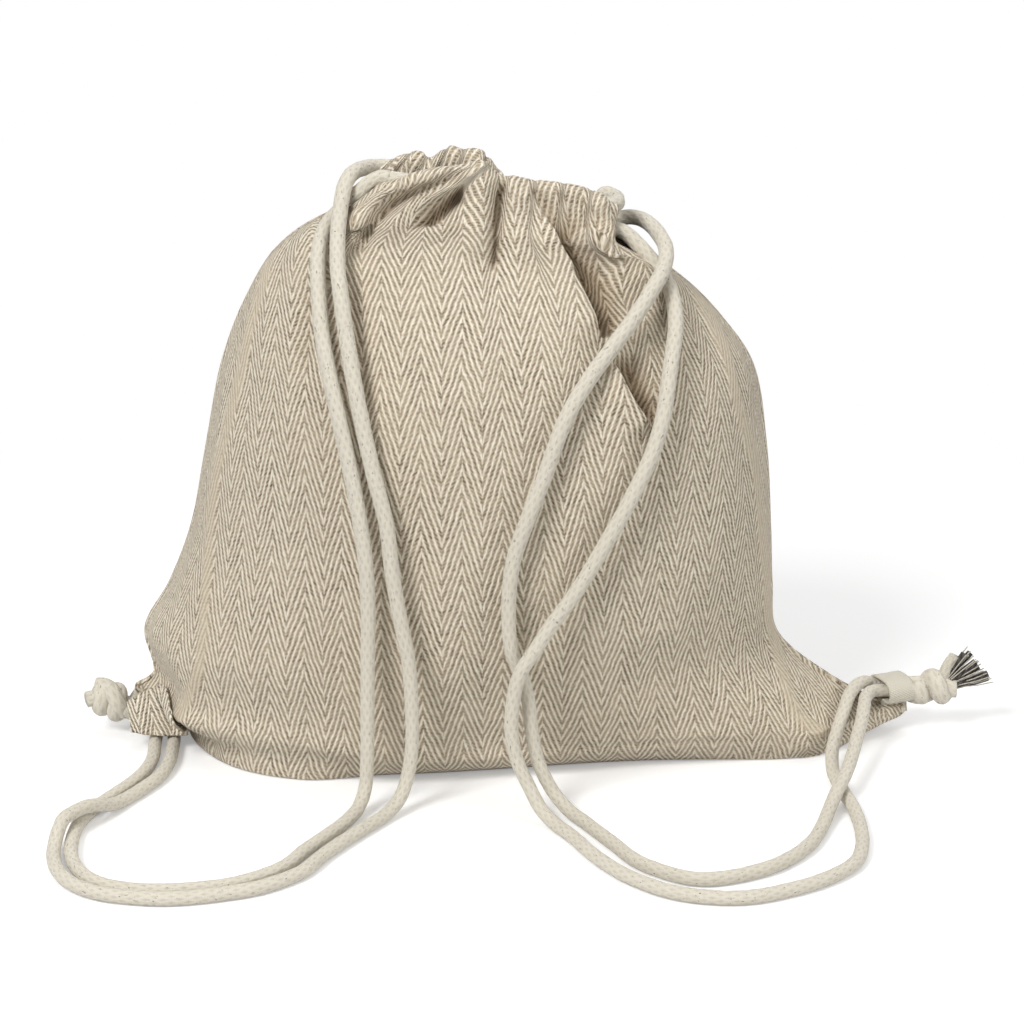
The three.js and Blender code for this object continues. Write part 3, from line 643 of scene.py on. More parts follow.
def softRoll(grid, side):
    # worked out at every fourth point and spread over those between them
    every = softness["every"]
    coarse = sum(height * noiseField(grid[::every, ::every], size, seed + side)
                 for size, seed, height in softness["parts"])
    rows, columns = grid.shape[:2]
    r = np.minimum(np.arange(rows) / every, coarse.shape[0] - 1.001)
    c = np.minimum(np.arange(columns) / every, coarse.shape[1] - 1.001)
    ri, ci = r.astype(int), c.astype(int)
    rw, cw = (r - ri)[:, None], (c - ci)[None, :]
    a, b = coarse[np.ix_(ri, ci)], coarse[np.ix_(ri, ci + 1)]
    d, e = coarse[np.ix_(ri + 1, ci)], coarse[np.ix_(ri + 1, ci + 1)]
    return a * (1 - rw) * (1 - cw) + b * (1 - rw) * cw + d * rw * (1 - cw) + e * rw * cw


# at the left end of the mouth the cloth is drawn towards the right as it rises, over the pocket and the slit
pull = {"level": 126.0, "lean": 0.6, "pocketTop": (-18.0, 161.0), "pocketEnd": (-52.0, 134.0),
        "rollLean": 0.85, "rollWidth": 16, "rollJump": 4.0, "leftEnd": (-98.0, -84.0)}


def pulledAside(across, up):
    top, end = np.array(pull["pocketTop"]), np.array(pull["pocketEnd"])
    heading = (end - top) / np.linalg.norm(end - top)
    along = (across - top[0]) * heading[0] + (up - top[1]) * heading[1]
    over = (across - top[0]) * heading[1] - (up - top[1]) * heading[0]
    wide = 1.5 + 0.25 * np.clip(along, 0, 60)
    leaning = pull["lean"] * np.clip(up - pull["level"], 0, None) * smoothStep(over / wide, -1, 1)
    _, signed = bandField(across, up, topRoll, 1.0)
    rolled = pull["rollLean"] * np.clip(-signed, 0, pull["rollWidth"])
    rolled += pull["rollJump"] * smoothStep(-signed, -0.6, 0.6)
    return (leaning + rolled * (across < topRoll[0][0])) * smoothStep(across, *pull["leftEnd"])


def clothUvs(grid, side):
    # the place of each point on the flat cloth, in metres: what is gathered up goes into the folds
    arc, share, half = arcShare(grid)
    surplus = np.clip(cloth["halfFlat"] - half, 0, None)
    width = 0.9 + 0.16 * np.clip(rowsBelow(grid), 0, None)
    u = arc.copy()
    for sign, taken in zip((-1, 1), takenUp[sheetName(side)]):
        folds = [(place, depth) for place, depth, _ in gathers[sheetName(side)] if place * sign > 0]
        total = sum(depth for _, depth in folds)
        for place, depth in folds:
            gap = (share - place) * half * sign
            jump = 0.5 * (1 + np.tanh(gap / width))
            start = 0.5 * (1 + np.tanh(-np.abs(place) * half / width))
            u += np.where(arc * sign > 0, sign * taken * surplus * depth / total * (jump - start), 0)
    plumb = [np.interp(cloth["plumbLine"], row[:, 0], along) for row, along in zip(grid, arc)]
    u -= np.array(plumb)[:, None]
    if side < 0:
        u -= pulledAside(*seenFromFront(grid))
    # near the floor the columns wander sideways, and the weave doesn't follow them
    steps = np.diff(grid, axis=0)
    steps[:, :, 0] *= smoothStep(grid[:-1, :, 2], 45, 75)
    down = np.linalg.norm(steps, axis=2)
    fall = np.concatenate([np.zeros((1, grid.shape[1])), np.cumsum(down, axis=0)], axis=0)
    base = fall[cloth["lipRows"] + 6 * cloth["bodySteps"]]
    return np.stack([u, base - fall], axis=2) / 1000


def bandField(x, z, path, width):
    # a band along the path, and the distance from its middle, which is negative on the right of the path
    nearest, hand, _, _ = nearestOn(path, 4.0, x, z)
    return 1 - smoothStep(nearest, width * 0.42, width * 0.58), nearest * hand


# the stitched seams down the front's sides, as x and z
leftBand = [(-114.5, 232.6), (-121, 216), (-125.5, 199), (-131.4, 177), (-135.9, 154.5), (-139.2, 140),
            (-142.6, 111.5), (-144.5, 84.4), (-146, 65), (-149.6, 47), (-156, 32), (-161.5, 22)]
rightBand = [(85.5, 222), (94, 208), (98.9, 197), (103, 180), (109.8, 158), (114.2, 143.6), (118, 111.6),
             (121.2, 84.6), (123.2, 66), (127, 49.3), (132.9, 30), (140.2, 19), (150, 13)]


# where folds and softness fade out: inside the casing as a share of its rows, at the side seams in columns,
# from the neck in steps, at the floor in millimetres, and where the cloth turns away from the front
fades = {"casing": (0.46, 0.6), "seams": (0, 8), "neck": (2, 34), "floor": (2, 26), "turned": (0.1, 0.75)}


def addCloth(name, side, folds):
    plain = clothSheet(side)
    normal = sheetNormals(plain, side)
    rows, columns = plain.shape[:2]
    x, z = plain[:, :, 0], plain[:, :, 2]
    outside = smoothStep(np.arange(rows) / cloth["lipRows"], *fades["casing"])[:, None]
    free = smoothStep(np.minimum(np.arange(columns), np.arange(columns)[::-1]), *fades["seams"])[None, :]
    onBody = smoothStep(rowsBelow(plain), *fades["neck"])
    offFloor = smoothStep(z, *fades["floor"])
    facing = smoothStep(np.abs(normal[:, :, 1]), *fades["turned"])
    height = foldField(*(seenFromFront(plain) if side < 0 else (x, z)), folds) * outside * free
    height += gatherField(plain, side) * (0.4 + 0.6 * free) * (1 - 0.6 * np.clip(normal[:, :, 2], 0, 1))
    # painted shade: the deeper a fold's or gather's hollow, the darker the cloth's colour is painted there
    hollow = np.clip(-height / 6.0, 0, 1) ** 1.3
    soft = softRoll(plain, side) * (0.25 + 0.75 * facing)
    height += (soft - cloth["sunk"]) * onBody * offFloor * free
    # painted shade mask: beyond marks the cloth past the front's stitched seams, which turns away at the
    # sides, and all of the back sheet; their colour is darkened
    band, beyond = np.zeros_like(x), np.ones_like(x)
    if side < 0:
        bandLeft, signedLeft = bandField(x, z, leftBand, cloth["bandWidth"])
        bandRight, signedRight = bandField(x, z, rightBand, cloth["bandWidth"])
        height += cloth["bandHeight"] * (bandLeft + bandRight) * offFloor * free
        band = np.maximum(bandLeft, bandRight)
        beyond = np.clip(smoothStep(signedLeft, 0, 3) + smoothStep(-signedRight, 0, 3), 0, 1)
    grid = plain + normal * height[:, :, None]
    # nothing reaches through the floor or through the other sheet
    grid[:, :, 2] = np.maximum(grid[:, :, 2], cloth["clear"])
    grid[:, :, 1] = side * np.maximum(side * grid[:, :, 1], cloth["clear"])
    # the mesh carries the seam band and two masks of painted shade, backCloth and hollow
    piece = makeMesh(name, grid.reshape(-1, 3), gridFaces(rows, columns, side < 0),
                     clothUvs(plain, side).reshape(-1, 2),
                     {"seamBand": band.ravel(), "backCloth": beyond.ravel(), "hollow": hollow.ravel()})
    return piece, grid


def thicken(piece, thickness, offset=-1):
    shell = piece.modifiers.new("thickness", "SOLIDIFY")
    shell.thickness = thickness / 1000
    shell.offset = offset
    shell.use_even_offset = False
    graph = bpy.context.evaluated_depsgraph_get()
    mesh = bpy.data.meshes.new_from_object(piece.evaluated_get(graph))
    piece.modifiers.clear()
    piece.data = mesh


frontCloth, frontGrid = addCloth("frontCloth", -1, frontFolds)
backCloth, backGrid = addCloth("backCloth", 1, backFolds)
for piece in (frontCloth, backCloth):
    thicken(piece, cloth["thickness"])
print("cloth made:", len(frontCloth.data.vertices), "points in front")

sideSeam = {"below": 10, "widest": 4.8, "clear": 0.15, "sunk": 0.7, "columns": 5, "thickness": 0.8}


def seamStrip(name, column):
    # the hem allowance, which shows as a sunken strip where the two sheets meet at the side
    front, back = frontGrid[:, column], backGrid[:, column]
    rows = [k for k in range(cloth["lipRows"] + sideSeam["below"], len(front) - cloth["baseRows"])
            if back[k, 1] - front[k, 1] < sideSeam["widest"]]
    inward = 1 if column == 0 else -1
    points, uvs = [], []
    for k, fall in zip(rows, lengthAlong(front[rows])):
        for s in np.linspace(-1, 1, sideSeam["columns"]):
            point = (front[k] * (1 - s) + back[k] * (1 + s)) / 2
            point[0] += inward * (sideSeam["clear"] + sideSeam["sunk"] * (1 - s * s))
            points.append(point)
            uvs.append((point[1] / 1000, -fall / 1000))
    piece = makeMesh(name, points, gridFaces(len(rows), sideSeam["columns"], column != 0), uvs)
    thicken(piece, sideSeam["thickness"])
    return piece


seamPieces = [seamStrip("leftSideSeam", 0), seamStrip("rightSideSeam", -1)]

# tape loops at the bottom corners, each a folded length of tape with both ends in the seam

# the path goes once round, as y and z in the frame of the loop
tape = {"thickness": 1.1, "columns": 12, "step": 0.7, "leftWidth": 12, "leftLean": 0.4, "rightWidth": 14,
        "rightLean": -0.6,
        "path": [(-0.7, -13.2), (-0.7, -7), (-1.6, -5.3), (-4.5, -5.2), (-8.4, -4.4), (-10.1, -1.2),
                 (-9.6, 2.2), (-6.6, 4.7), (-2, 5.4), (2.5, 5.3), (6.9, 4.6), (9.7, 2), (10.1, -1.4),
                 (8.3, -4.5), (4.5, -5.2), (1.6, -5.3), (0.7, -7), (0.7, -13.2)]}


def turnedFrame(origin, degrees, axis="Y"):
    return Matrix.Translation(origin) @ Matrix.Rotation(math.radians(degrees), 4, axis)


leftLoopFrame = turnedFrame((-184.0, 0.0, 11.6), 210)
rightLoopFrame = turnedFrame((185.0, 0.0, 22.6), 0)
rightTapeFrame = turnedFrame((185.0, 0.0, 22.6), 22, "Z")
leftKnotFrame = turnedFrame((-183.2, -1.5, 9.4), 206)


def placed(points, frameMatrix):
    m = np.array(frameMatrix)
    return np.asarray(points, float) @ m[:3, :3].T + m[:3, 3]


def tapeLoop(name, width, frameMatrix, lean):
    line, _ = routeLine([(0, y, z) for y, z in tape["path"]], tape["step"])
    points, uvs = [], []
    for (_, y, z), along in zip(line, lengthAlong(line)):
        for x in (np.arange(tape["columns"] + 1) / tape["columns"] - 0.5) * width:
            bow = 0.45 * noise.noise(Vector((x / 5, along / 6, lean))) if abs(z) < 6 else 0.0
            points.append((x + lean * z * 0.12, y * (1 + bow * 0.06), z * (1 + bow * 0.08)))
            uvs.append((x / 1000, along / 1000))
    piece = makeMesh(name, placed(points, frameMatrix), gridFaces(len(line), tape["columns"] + 1), uvs)
    thicken(piece, tape["thickness"], 0)
    return piece


leftTape = tapeLoop("leftTapeLoop", tape["leftWidth"], leftLoopFrame, tape["leftLean"])
rightTape = tapeLoop("rightTapeLoop", tape["rightWidth"], rightTapeFrame, tape["rightLean"])

# the corner of the front cloth hangs over the left loop as a flap: corners as x and z, in millimetres

earFlap = {"topLeft": (-187.5, 19.4), "topRight": (-167.5, 29.0), "bottomLeft": (-184.5, 9.2),
           "bottomRight": (-157.0, 7.6), "front": -12.2, "hem": -26.5, "bulge": 1.8, "rightBow": 4.2,
           "arch": 1.6, "ripple": 0.35, "ripples": 19, "beside": 2.0, "clear": 0.9, "columns": 40, "rows": 28,
           "thickness": 1.0}


def flapPiece():
    flat = frontGrid.reshape(-1, 3)
    rows, columns = earFlap["rows"] + 1, earFlap["columns"] + 1
    points, uvs = [], []
    for down in np.arange(rows) / earFlap["rows"]:
        left = np.array(earFlap["topLeft"]) * (1 - down) + np.array(earFlap["bottomLeft"]) * down
        right = np.array(earFlap["topRight"]) * (1 - down) + np.array(earFlap["bottomRight"]) * down
        for over in np.arange(columns) / earFlap["columns"]:
            x, z = left * (1 - over) + right * over
            x += earFlap["rightBow"] * math.sin(math.pi * down) * over ** 3
            z += earFlap["arch"] * math.sin(math.pi * over) * (1 - 1.6 * down)
            swell = math.sin(math.pi * min(1, 0.15 + over)) * math.sin(math.pi * min(1, 0.2 + 0.7 * down))
            y = earFlap["front"] + (earFlap["hem"] - earFlap["front"]) * down ** 1.2
            y += earFlap["ripple"] * math.sin(over * earFlap["ripples"]) - earFlap["bulge"] * swell
            # it lies on the front cloth where there is any behind it
            behind = flat[np.hypot(flat[:, 0] - x, flat[:, 2] - z) < earFlap["beside"]]
            if len(behind):
                y = min(y, behind[:, 1].min() - earFlap["clear"])
            points.append((x, y, z))
            uvs.append(((x * 1.25 + 0.3 * z) / 1000, (z + 0.5 * y) / 1000))
    piece = makeMesh("leftEarFlap", points, gridFaces(rows, columns), uvs)
    thicken(piece, earFlap["thickness"])
    return piece


leftFlap = flapPiece()

# knots: both cord ends tied in one overhand knot behind each loop

# radii of the cords as they show, and the turns that the doubled one takes
knotCords = {"wrap": 4.5, "cross": 4.2, "core": 5.4, "tail": 3.5, "tailBehind": 3.4, "turns": 1.6,
             "step": 1.1, "sides": 18, "wobble": 0.04, "tailSeed": 4.0}


def knotCord(name, path, frameMatrix, radius, seed):
    line, _ = routeLine(placed(path, frameMatrix), knotCords["step"])
    return makeTube(name, line, radius, knotCords["sides"], knotCords["wobble"], seed)


def coil(count, start, length, turn, sweep, reaches):
    # count points along the knot's axis, which sweep round it and swing out in the middle
    near, more = reaches
    path = []
    for w in np.arange(count) / (count - 1):
        angle = turn + sweep * w
        r = near + more * math.sin(math.pi * w)
        path.append((start + length * w, r * math.cos(angle), r * math.sin(angle)))
    return path


def knotCoils(name, start, length, radius, frameMatrix, seed):
    # the doubled cord wrapped round itself, the strand that crosses over it, and the cord inside
    turns = 2 * math.pi * knotCords["turns"]
    wrap = coil(48, start + 3.5, length - 7.5, seed, turns, (radius * 0.56, radius * 0.2))
    cross = coil(14, start + 1.5, length - 3, seed + 2.2, 1.9, (radius * 0.55, radius * 0.5))
    core = [(start - 0.5, 0.0, 0.0), (start + length * 0.5, 0.6, 0.0), (start + length, 0.0, 0.0)]
    return [knotCord(name + part.capitalize(), path, frameMatrix, knotCords[part], seed)
            for part, path in (("wrap", wrap), ("cross", cross), ("core", core))]


def joinPieces(name, pieces):
    first = pieces[0]
    with bpy.context.temp_override(active_object=first, selected_editable_objects=pieces, object=first,
                                   selected_objects=pieces):
        bpy.ops.object.join()
    first.name = name
    first.data.name = name
    return first


leftTails = [
    knotCord("leftTail", [(20, 1, 1), (23.5, 2.5, 3), (26.5, 3, 5.5)], leftKnotFrame, knotCords["tail"],
             knotCords["tailSeed"]),
    knotCord("leftTailBehind", [(20, -2, 0), (23.5, -4, 1.5), (26, -5.5, 3)], leftKnotFrame,
             knotCords["tailBehind"], knotCords["tailSeed"]),
]
leftKnot = joinPieces("leftKnot", knotCoils("leftKnot", 5.6, 20.0, 7.0, leftKnotFrame, 0.8) + leftTails)
rightKnot = joinPieces("rightKnot", knotCoils("rightKnot", 7.6, 23.5, 6.2, rightLoopFrame, 2.4))

# frayed tail of the right cord: sheath, charcoal yarns and white threads

fray = {"root": (26.5, 0.0, 2.0), "heading": (0.75, 0.0, 0.66), "upward": (-0.66, 0.0, 0.75),
        "across": (0.0, -1.0, 0.0), "length": 17.0, "yarns": 7, "yarn": 1.7, "threads": 26, "thread": 0.3,
        "sheath": (3.6, 2.6)}


def frayLine(stations, spread, step):
    # from the knot outwards: how far along the heading, and how much of the spread
    root, heading = np.array(fray["root"]), np.array(fray["heading"])
    path = [root + heading * out + spread * share for out, share in stations]
    line, _ = routeLine(placed(path, rightLoopFrame), step)
    return line


def frayedTail():
    upward, across = np.array(fray["upward"]), np.array(fray["across"])
    yarns, threads = [], []
    for i in range(fray["yarns"]):
        w = i / (fray["yarns"] - 1) - 0.5
        spread = upward * (w * 15 - 2) + across * (3.2 * math.sin(i * 2.1))
        reach = fray["length"] + 1.5 * math.sin(i * 1.7)
        line = frayLine([(0, 0.3), (5, 0.55), (10, 0.85), (reach, 1.15)], spread, 0.9)
        yarns.append(makeTube("charcoalYarn%d" % i, line, fray["yarn"], 10, 0.1, i))
    for i in range(fray["threads"]):
        w = (i + 0.5) / fray["threads"] - 0.5
        spread = upward * (w * 17 - 2) + across * (2.0 + 3.4 * math.sin(i * 2.7 + 0.6))
        reach = fray["length"] + 1.0 + 1.6 * math.sin(i * 3.1)
        line = frayLine([(0, 0.3), (5.5, 0.6), (11, 0.92), (reach, 1.25)], spread, 1.2)
        threads.append(makeTube("whiteThread%d" % i, line, fray["thread"], 6, 0.0, i))
    line = frayLine([(-4, 1.0), (1, 3.5), (6, 6.5), (12, 8.5)], upward, 1.0)
    radii = np.linspace(*fray["sheath"], len(line))
    sheath = makeTube("sheathEnd", line, radii, 16, 0.06, 2.0, flatness=0.25)
    return sheath, joinPieces("charcoalYarns", yarns), joinPieces("whiteThreads", threads)


sheathEnd, charcoalYarns, whiteThreads = frayedTail()
print("loops and knots made")

# materials


def linear(colour):
    shares = [c / 255 for c in colour]
    return tuple(c / 12.92 if c <= 0.04045 else ((c + 0.055) / 1.055) ** 2.4 for c in shares) + (1.0,)


class Graph:
    def __init__(self, name):
        self.material = bpy.data.materials.new(name)
        self.material.use_nodes = True
        self.nodes = self.material.node_tree.nodes
        self.links = self.material.node_tree.links
        self.shader = self.nodes["Principled BSDF"]

    def put(self, socket, value):
        if isinstance(value, bpy.types.NodeSocket):
            self.links.new(value, socket)
        else:
            socket.default_value = value

    def math(self, operation, *values, clamp=False):
        node = self.nodes.new("ShaderNodeMath")
        node.operation = operation
        node.use_clamp = clamp
        for socket, value in zip(node.inputs, values):
            self.put(socket, value)
        return node.outputs[0]

    def times(self, first, second):
        return self.math("MULTIPLY", first, second)

    def plus(self, first, second):
        return self.math("ADD", first, second)

    def minus(self, first, second):
        return self.math("SUBTRACT", first, second)

    def over(self, first, second):
        return self.math("DIVIDE", first, second)

    def sine(self, value, factor):
        return self.math("SINE", self.times(value, factor))

    def halfUp(self, value):
        # from -1 to 1 becomes from 0 to 1
        return self.plus(self.times(value, 0.5), 0.5)

    def stray(self, vector, scale, detail, reach):
        # soft noise round 0
        return self.times(self.minus(self.noise(vector, scale, detail), 0.5), reach)

    def mix(self, factor, first, second, blend="MIX"):
        node = self.nodes.new("ShaderNodeMix")
        node.data_type = "RGBA"
        node.blend_type = blend
        self.put(node.inputs["Factor"], factor)
        colours = [socket for socket in node.inputs if socket.type == "RGBA"]
        self.put(colours[0], first)
        self.put(colours[1], second)
        return [socket for socket in node.outputs if socket.type == "RGBA"][0]

    def ramp(self, value, low, high):
        node = self.nodes.new("ShaderNodeMapRange")
        node.interpolation_type = "SMOOTHSTEP"
        self.put(node.inputs["Value"], value)
        node.inputs["From Min"].default_value = low
        node.inputs["From Max"].default_value = high
        return node.outputs["Result"]

    def noise(self, vector, scale, detail=2.0, roughness=0.5):
        node = self.nodes.new("ShaderNodeTexNoise")
        self.put(node.inputs["Vector"], vector)
        node.inputs["Scale"].default_value = scale
        node.inputs["Detail"].default_value = detail
        node.inputs["Roughness"].default_value = roughness
        return node.outputs["Fac"]

    def white(self, vector):
        node = self.nodes.new("ShaderNodeTexWhiteNoise")
        node.noise_dimensions = "3D"
        self.put(node.inputs["Vector"], vector)
        return node.outputs["Value"]

    def combine(self, x, y, z=0.0):
        node = self.nodes.new("ShaderNodeCombineXYZ")
        for socket, value in zip(node.inputs, (x, y, z)):
            self.put(socket, value)
        return node.outputs[0]

    def uv(self):
        node = self.nodes.new("ShaderNodeUVMap")
        node.uv_map = "UVMap"
        split = self.nodes.new("ShaderNodeSeparateXYZ")
        self.links.new(node.outputs[0], split.inputs[0])
        return node.outputs[0], split.outputs[0], split.outputs[1]

    def place(self):
        return self.nodes.new("ShaderNodeTexCoord").outputs["Object"]

    def attribute(self, name):
        node = self.nodes.new("ShaderNodeAttribute")
        node.attribute_name = name
        return node.outputs["Fac"]

    def bump(self, height, distance, strength=1.0):
        node = self.nodes.new("ShaderNodeBump")
        node.inputs["Strength"].default_value = strength
        node.inputs["Distance"].default_value = distance
        self.links.new(height, node.inputs["Height"])
        self.links.new(node.outputs[0], self.shader.inputs["Normal"])

    def finish(self, colour, roughness=0.9, sheen=0.15):
        self.put(self.shader.inputs["Base Color"], colour)
        self.put(self.shader.inputs["Roughness"], roughness)
        self.shader.inputs["Specular IOR Level"].default_value = 0.25
        self.shader.inputs["Sheen Weight"].default_value = sheen
        self.shader.inputs["Sheen Roughness"].default_value = 0.6
        return self.material


# in metres of cloth; "wander", "slack" and "twitch" are scale, detail and reach of how the lines stray
# "side" and "shade" are painted shade: darker colours for the sides that turn away and for the hollows of the
# folds
weave = {"zigzag": 0.0185, "repeat": 0.0078, "rise": 3.6, "stitch": 0.0021, "yarnShare": 0.43,
         "stagger": 0.18, "wander": (34.0, 2.0, 0.0020), "slack": (150.0, 2.0, 0.5),
         "twitch": (620.0, 1.0, 0.42), "light": (245, 239, 224), "warm": (233, 224, 206),
         "tan": (206, 192, 170), "dot": (52, 44, 33), "fibre": (150, 131, 103), "plain": (206, 195, 175),
         "plainFibre": (176, 160, 132), "worn": (178, 160, 130), "side": (170, 151, 120),
         "shade": (178, 158, 130)}


def clothMaterial():
    g = Graph("herringboneCotton")
    uv, u, v = g.uv()
    across = g.over(g.plus(u, g.stray(uv, *weave["wander"])), weave["zigzag"])
    zig = g.times(g.math("PINGPONG", across, 0.5), 2.0)
    half = g.math("FLOOR", g.times(across, 2.0))
    stagger = g.times(g.math("FRACT", g.times(half, 0.5)), 2 * weave["stagger"])
    strayed = g.plus(g.stray(uv, *weave["slack"]), g.stray(uv, *weave["twitch"]))
    phase = g.minus(g.over(v, weave["repeat"]), g.times(zig, weave["rise"]))
    phase = g.plus(g.plus(phase, stagger), strayed)
    share = g.math("FRACT", phase)
    line = g.math("FLOOR", phase)
    inYarn = g.math("DIVIDE", share, weave["yarnShare"], clamp=True)
    yarn = g.math("POWER", g.sine(inYarn, math.pi), 0.7)
    inGap = g.math("DIVIDE", g.minus(share, weave["yarnShare"]), 1 - weave["yarnShare"], clamp=True)
    # the weft shows between the lines as short dark stitches
    count = g.plus(g.over(v, weave["stitch"]), g.plus(g.times(inGap, 0.7), g.times(line, 0.37)))
    bow = g.sine(g.math("FRACT", count), math.pi)
    luck = g.white(g.combine(line, half, g.math("FLOOR", count)))
    worn = g.ramp(g.noise(uv, 42.0, 3.0), 0.3, 0.7)
    force = g.plus(0.46, g.times(luck, g.plus(0.24, g.times(worn, 0.3))))
    stitch = g.times(g.ramp(g.times(g.sine(inGap, math.pi), bow), 0.12, 0.52), force)
    tick = g.white(g.combine(g.plus(line, 40.0), half, g.math("FLOOR", g.times(count, 1.6))))
    fibre = g.noise(g.combine(g.times(u, 1500.0), g.times(v, 700.0), line), 1.0, 2.0)
    light = g.mix(g.times(tick, 0.75), linear(weave["light"]), linear(weave["warm"]))
    colour = g.mix(g.ramp(yarn, 0.2, 0.85), linear(weave["tan"]), light)
    colour = g.mix(stitch, colour, linear(weave["dot"]))
    colour = g.mix(g.times(g.ramp(fibre, 0.46, 0.74), 0.36), colour, linear(weave["fibre"]))
    # the stitched bands are plain, and the cloth differs a little from place to place
    plainFibre = g.noise(g.combine(g.times(u, 1000.0), g.times(v, 1000.0)), 1.0, 3.0)
    plain = g.mix(g.times(plainFibre, 0.6), linear(weave["plain"]), linear(weave["plainFibre"]))
    seam = g.times(g.attribute("seamBand"), 0.55)
    colour = g.mix(seam, colour, plain)
    broad = g.ramp(g.noise(g.place(), 11.0, 3.0), 0.35, 0.75)
    colour = g.mix(g.times(broad, 0.10), colour, linear(weave["worn"]))
    # painted shade: the turned-away sides and the back sheet are darkened a little in colour
    colour = g.mix(g.times(g.attribute("backCloth"), 0.16), colour, linear(weave["side"]))
    # painted shade in the hollows of the folds and gathers, multiplied into the colour
    colour = g.mix(g.times(g.attribute("hollow"), 0.6), colour, linear(weave["shade"]), "MULTIPLY")
    height = g.times(g.minus(g.times(yarn, 0.7), g.times(stitch, 0.5)), g.minus(1.0, seam))
    g.bump(g.plus(height, g.times(g.plus(fibre, plainFibre), 0.22)), 0.0005, 0.9)
    return g.finish(colour)


braid = {"around": 7.0, "pitch": 0.0068, "light": (215, 209, 194), "dark": (200, 193, 177),
         "fibre": (184, 176, 158), "patch": (204, 193, 180), "speck": (104, 92, 76), "fleck": (84, 74, 66)}


def cordMaterial():
    g = Graph("braidedCotton")
    _, around, along = g.uv()
    a, b = g.times(around, braid["around"]), g.over(along, braid["pitch"])
    left, right = g.sine(g.plus(a, b), 2 * math.pi), g.sine(g.minus(a, b), 2 * math.pi)
    strands = g.halfUp(g.math("MAXIMUM", left, right))
    wide = g.combine(g.times(around, 22.0), g.times(along, 1000.0))
    fibre = g.noise(wide, 2.2, 3.0, 0.65)
    patch = g.noise(wide, 0.35, 2.0)
    speck = g.noise(wide, 1.5, 1.0)
    fleck = g.noise(g.combine(g.times(around, 40.0), g.times(along, 700.0), 5.0), 0.9, 0.0)
    colour = g.mix(g.ramp(strands, 0.1, 0.8), linear(braid["dark"]), linear(braid["light"]))
    for kind, value, low, high, strength in (
            ("fibre", fibre, 0.42, 0.72, 0.4), ("patch", patch, 0.45, 0.65, 0.3),
            ("speck", speck, 0.70, 0.76, 0.55), ("fleck", fleck, 0.78, 0.84, 0.8)):
        colour = g.mix(g.times(g.ramp(value, low, high), strength), colour, linear(braid[kind]))
    g.bump(g.plus(g.times(strands, 0.6), g.times(fibre, 0.8)), 0.0005, 0.8)
    return g.finish(colour, 0.92, 0.2)


tapeWeave = {"rib": 0.0011, "slant": 0.6, "light": (216, 211, 196), "dark": (188, 181, 163),
             "fibre": (176, 166, 146)}


def tapeMaterial():
    g = Graph("tapeCotton")
    _, across, along = g.uv()
    rib = g.halfUp(g.sine(g.plus(along, g.times(across, tapeWeave["slant"])), 2 * math.pi / tapeWeave["rib"]))
    fibre = g.noise(g.place(), 1500.0, 3.0)
    colour = g.mix(g.times(rib, 0.4), linear(tapeWeave["light"]), linear(tapeWeave["dark"]))
    colour = g.mix(g.times(fibre, 0.3), colour, linear(tapeWeave["fibre"]))
    g.bump(g.plus(rib, g.times(fibre, 0.6)), 0.0003, 0.8)
    return g.finish(colour)


yarnTwist = {"plies": 3.0, "pitch": 0.004}


def yarnMaterial(name, light, dark):
    g = Graph(name)
    _, around, along = g.uv()
    turn = g.plus(g.times(around, yarnTwist["plies"]), g.over(along, yarnTwist["pitch"]))
    ply = g.halfUp(g.sine(turn, 2 * math.pi))
    fibre = g.noise(g.place(), 1800.0, 3.0)
    colour = g.mix(ply, linear(dark), linear(light))
    colour = g.mix(g.times(fibre, 0.4), colour, linear(dark))
    g.bump(g.plus(ply, fibre), 0.0004, 0.8)
    return g.finish(colour, 0.95, 0.1)


cordParts = [cord[part] for part in ("piece", "run") for cord in cords]
for look, pieces in (
        (clothMaterial(), [frontCloth, backCloth, leftFlap] + seamPieces),
        (cordMaterial(), cordParts + [leftKnot, rightKnot, sheathEnd]),
        (tapeMaterial(), [leftTape, rightTape]),
        (yarnMaterial("charcoalCotton", (92, 88, 84), (52, 48, 46)), [charcoalYarns]),
        (yarnMaterial("whiteCotton", (226, 220, 208), (196, 188, 172)), [whiteThreads])):
    for piece in pieces:
        piece.data.materials.clear()
        piece.data.materials.append(look)

# what each piece rides on, and what it stands for

for piece in [leftFlap, leftTape, rightTape, leftKnot, rightKnot, sheathEnd, charcoalYarns,
              whiteThreads] + seamPieces:
    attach(piece, "root")
for name, piece in (("left_loop_tab", leftTape), ("right_loop_tab", rightTape), ("left_knot", leftKnot),
                    ("right_knot", rightKnot)):
    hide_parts(name)

# the cloth is baked in place and stands for the panels and the casings
for piece, side in ((frontCloth, -1), (backCloth, 1)):
    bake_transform(piece)
    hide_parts(sheetName(side) + "_panel", sheetName(side) + "_casing")

# each strand, from its arch to the mouth of the casing, is baked in place, and each run rides on its lip
for cord in cords:
    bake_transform(cord["piece"])
    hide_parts(cord["node"] + "_strand")
for cord in cords:
    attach(cord["run"], cord["lip"])
    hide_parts(cord["node"] + "_run")

# floor, light and background

paper = {"half": 6, "white": 0.82, "glow": 0.28, "fadeFrom": 0.2, "fadeTo": 0.6, "farGlow": 0.35}
floorMesh = bpy.data.meshes.new("floor")
corners = [(x * paper["half"], y * paper["half"], 0) for x, y in ((-1, -1), (1, -1), (1, 1), (-1, 1))]
floorMesh.from_pydata(corners, [], [(0, 1, 2, 3)])
floor = bpy.data.objects.new("floor", floorMesh)
scene.collection.objects.link(floor)


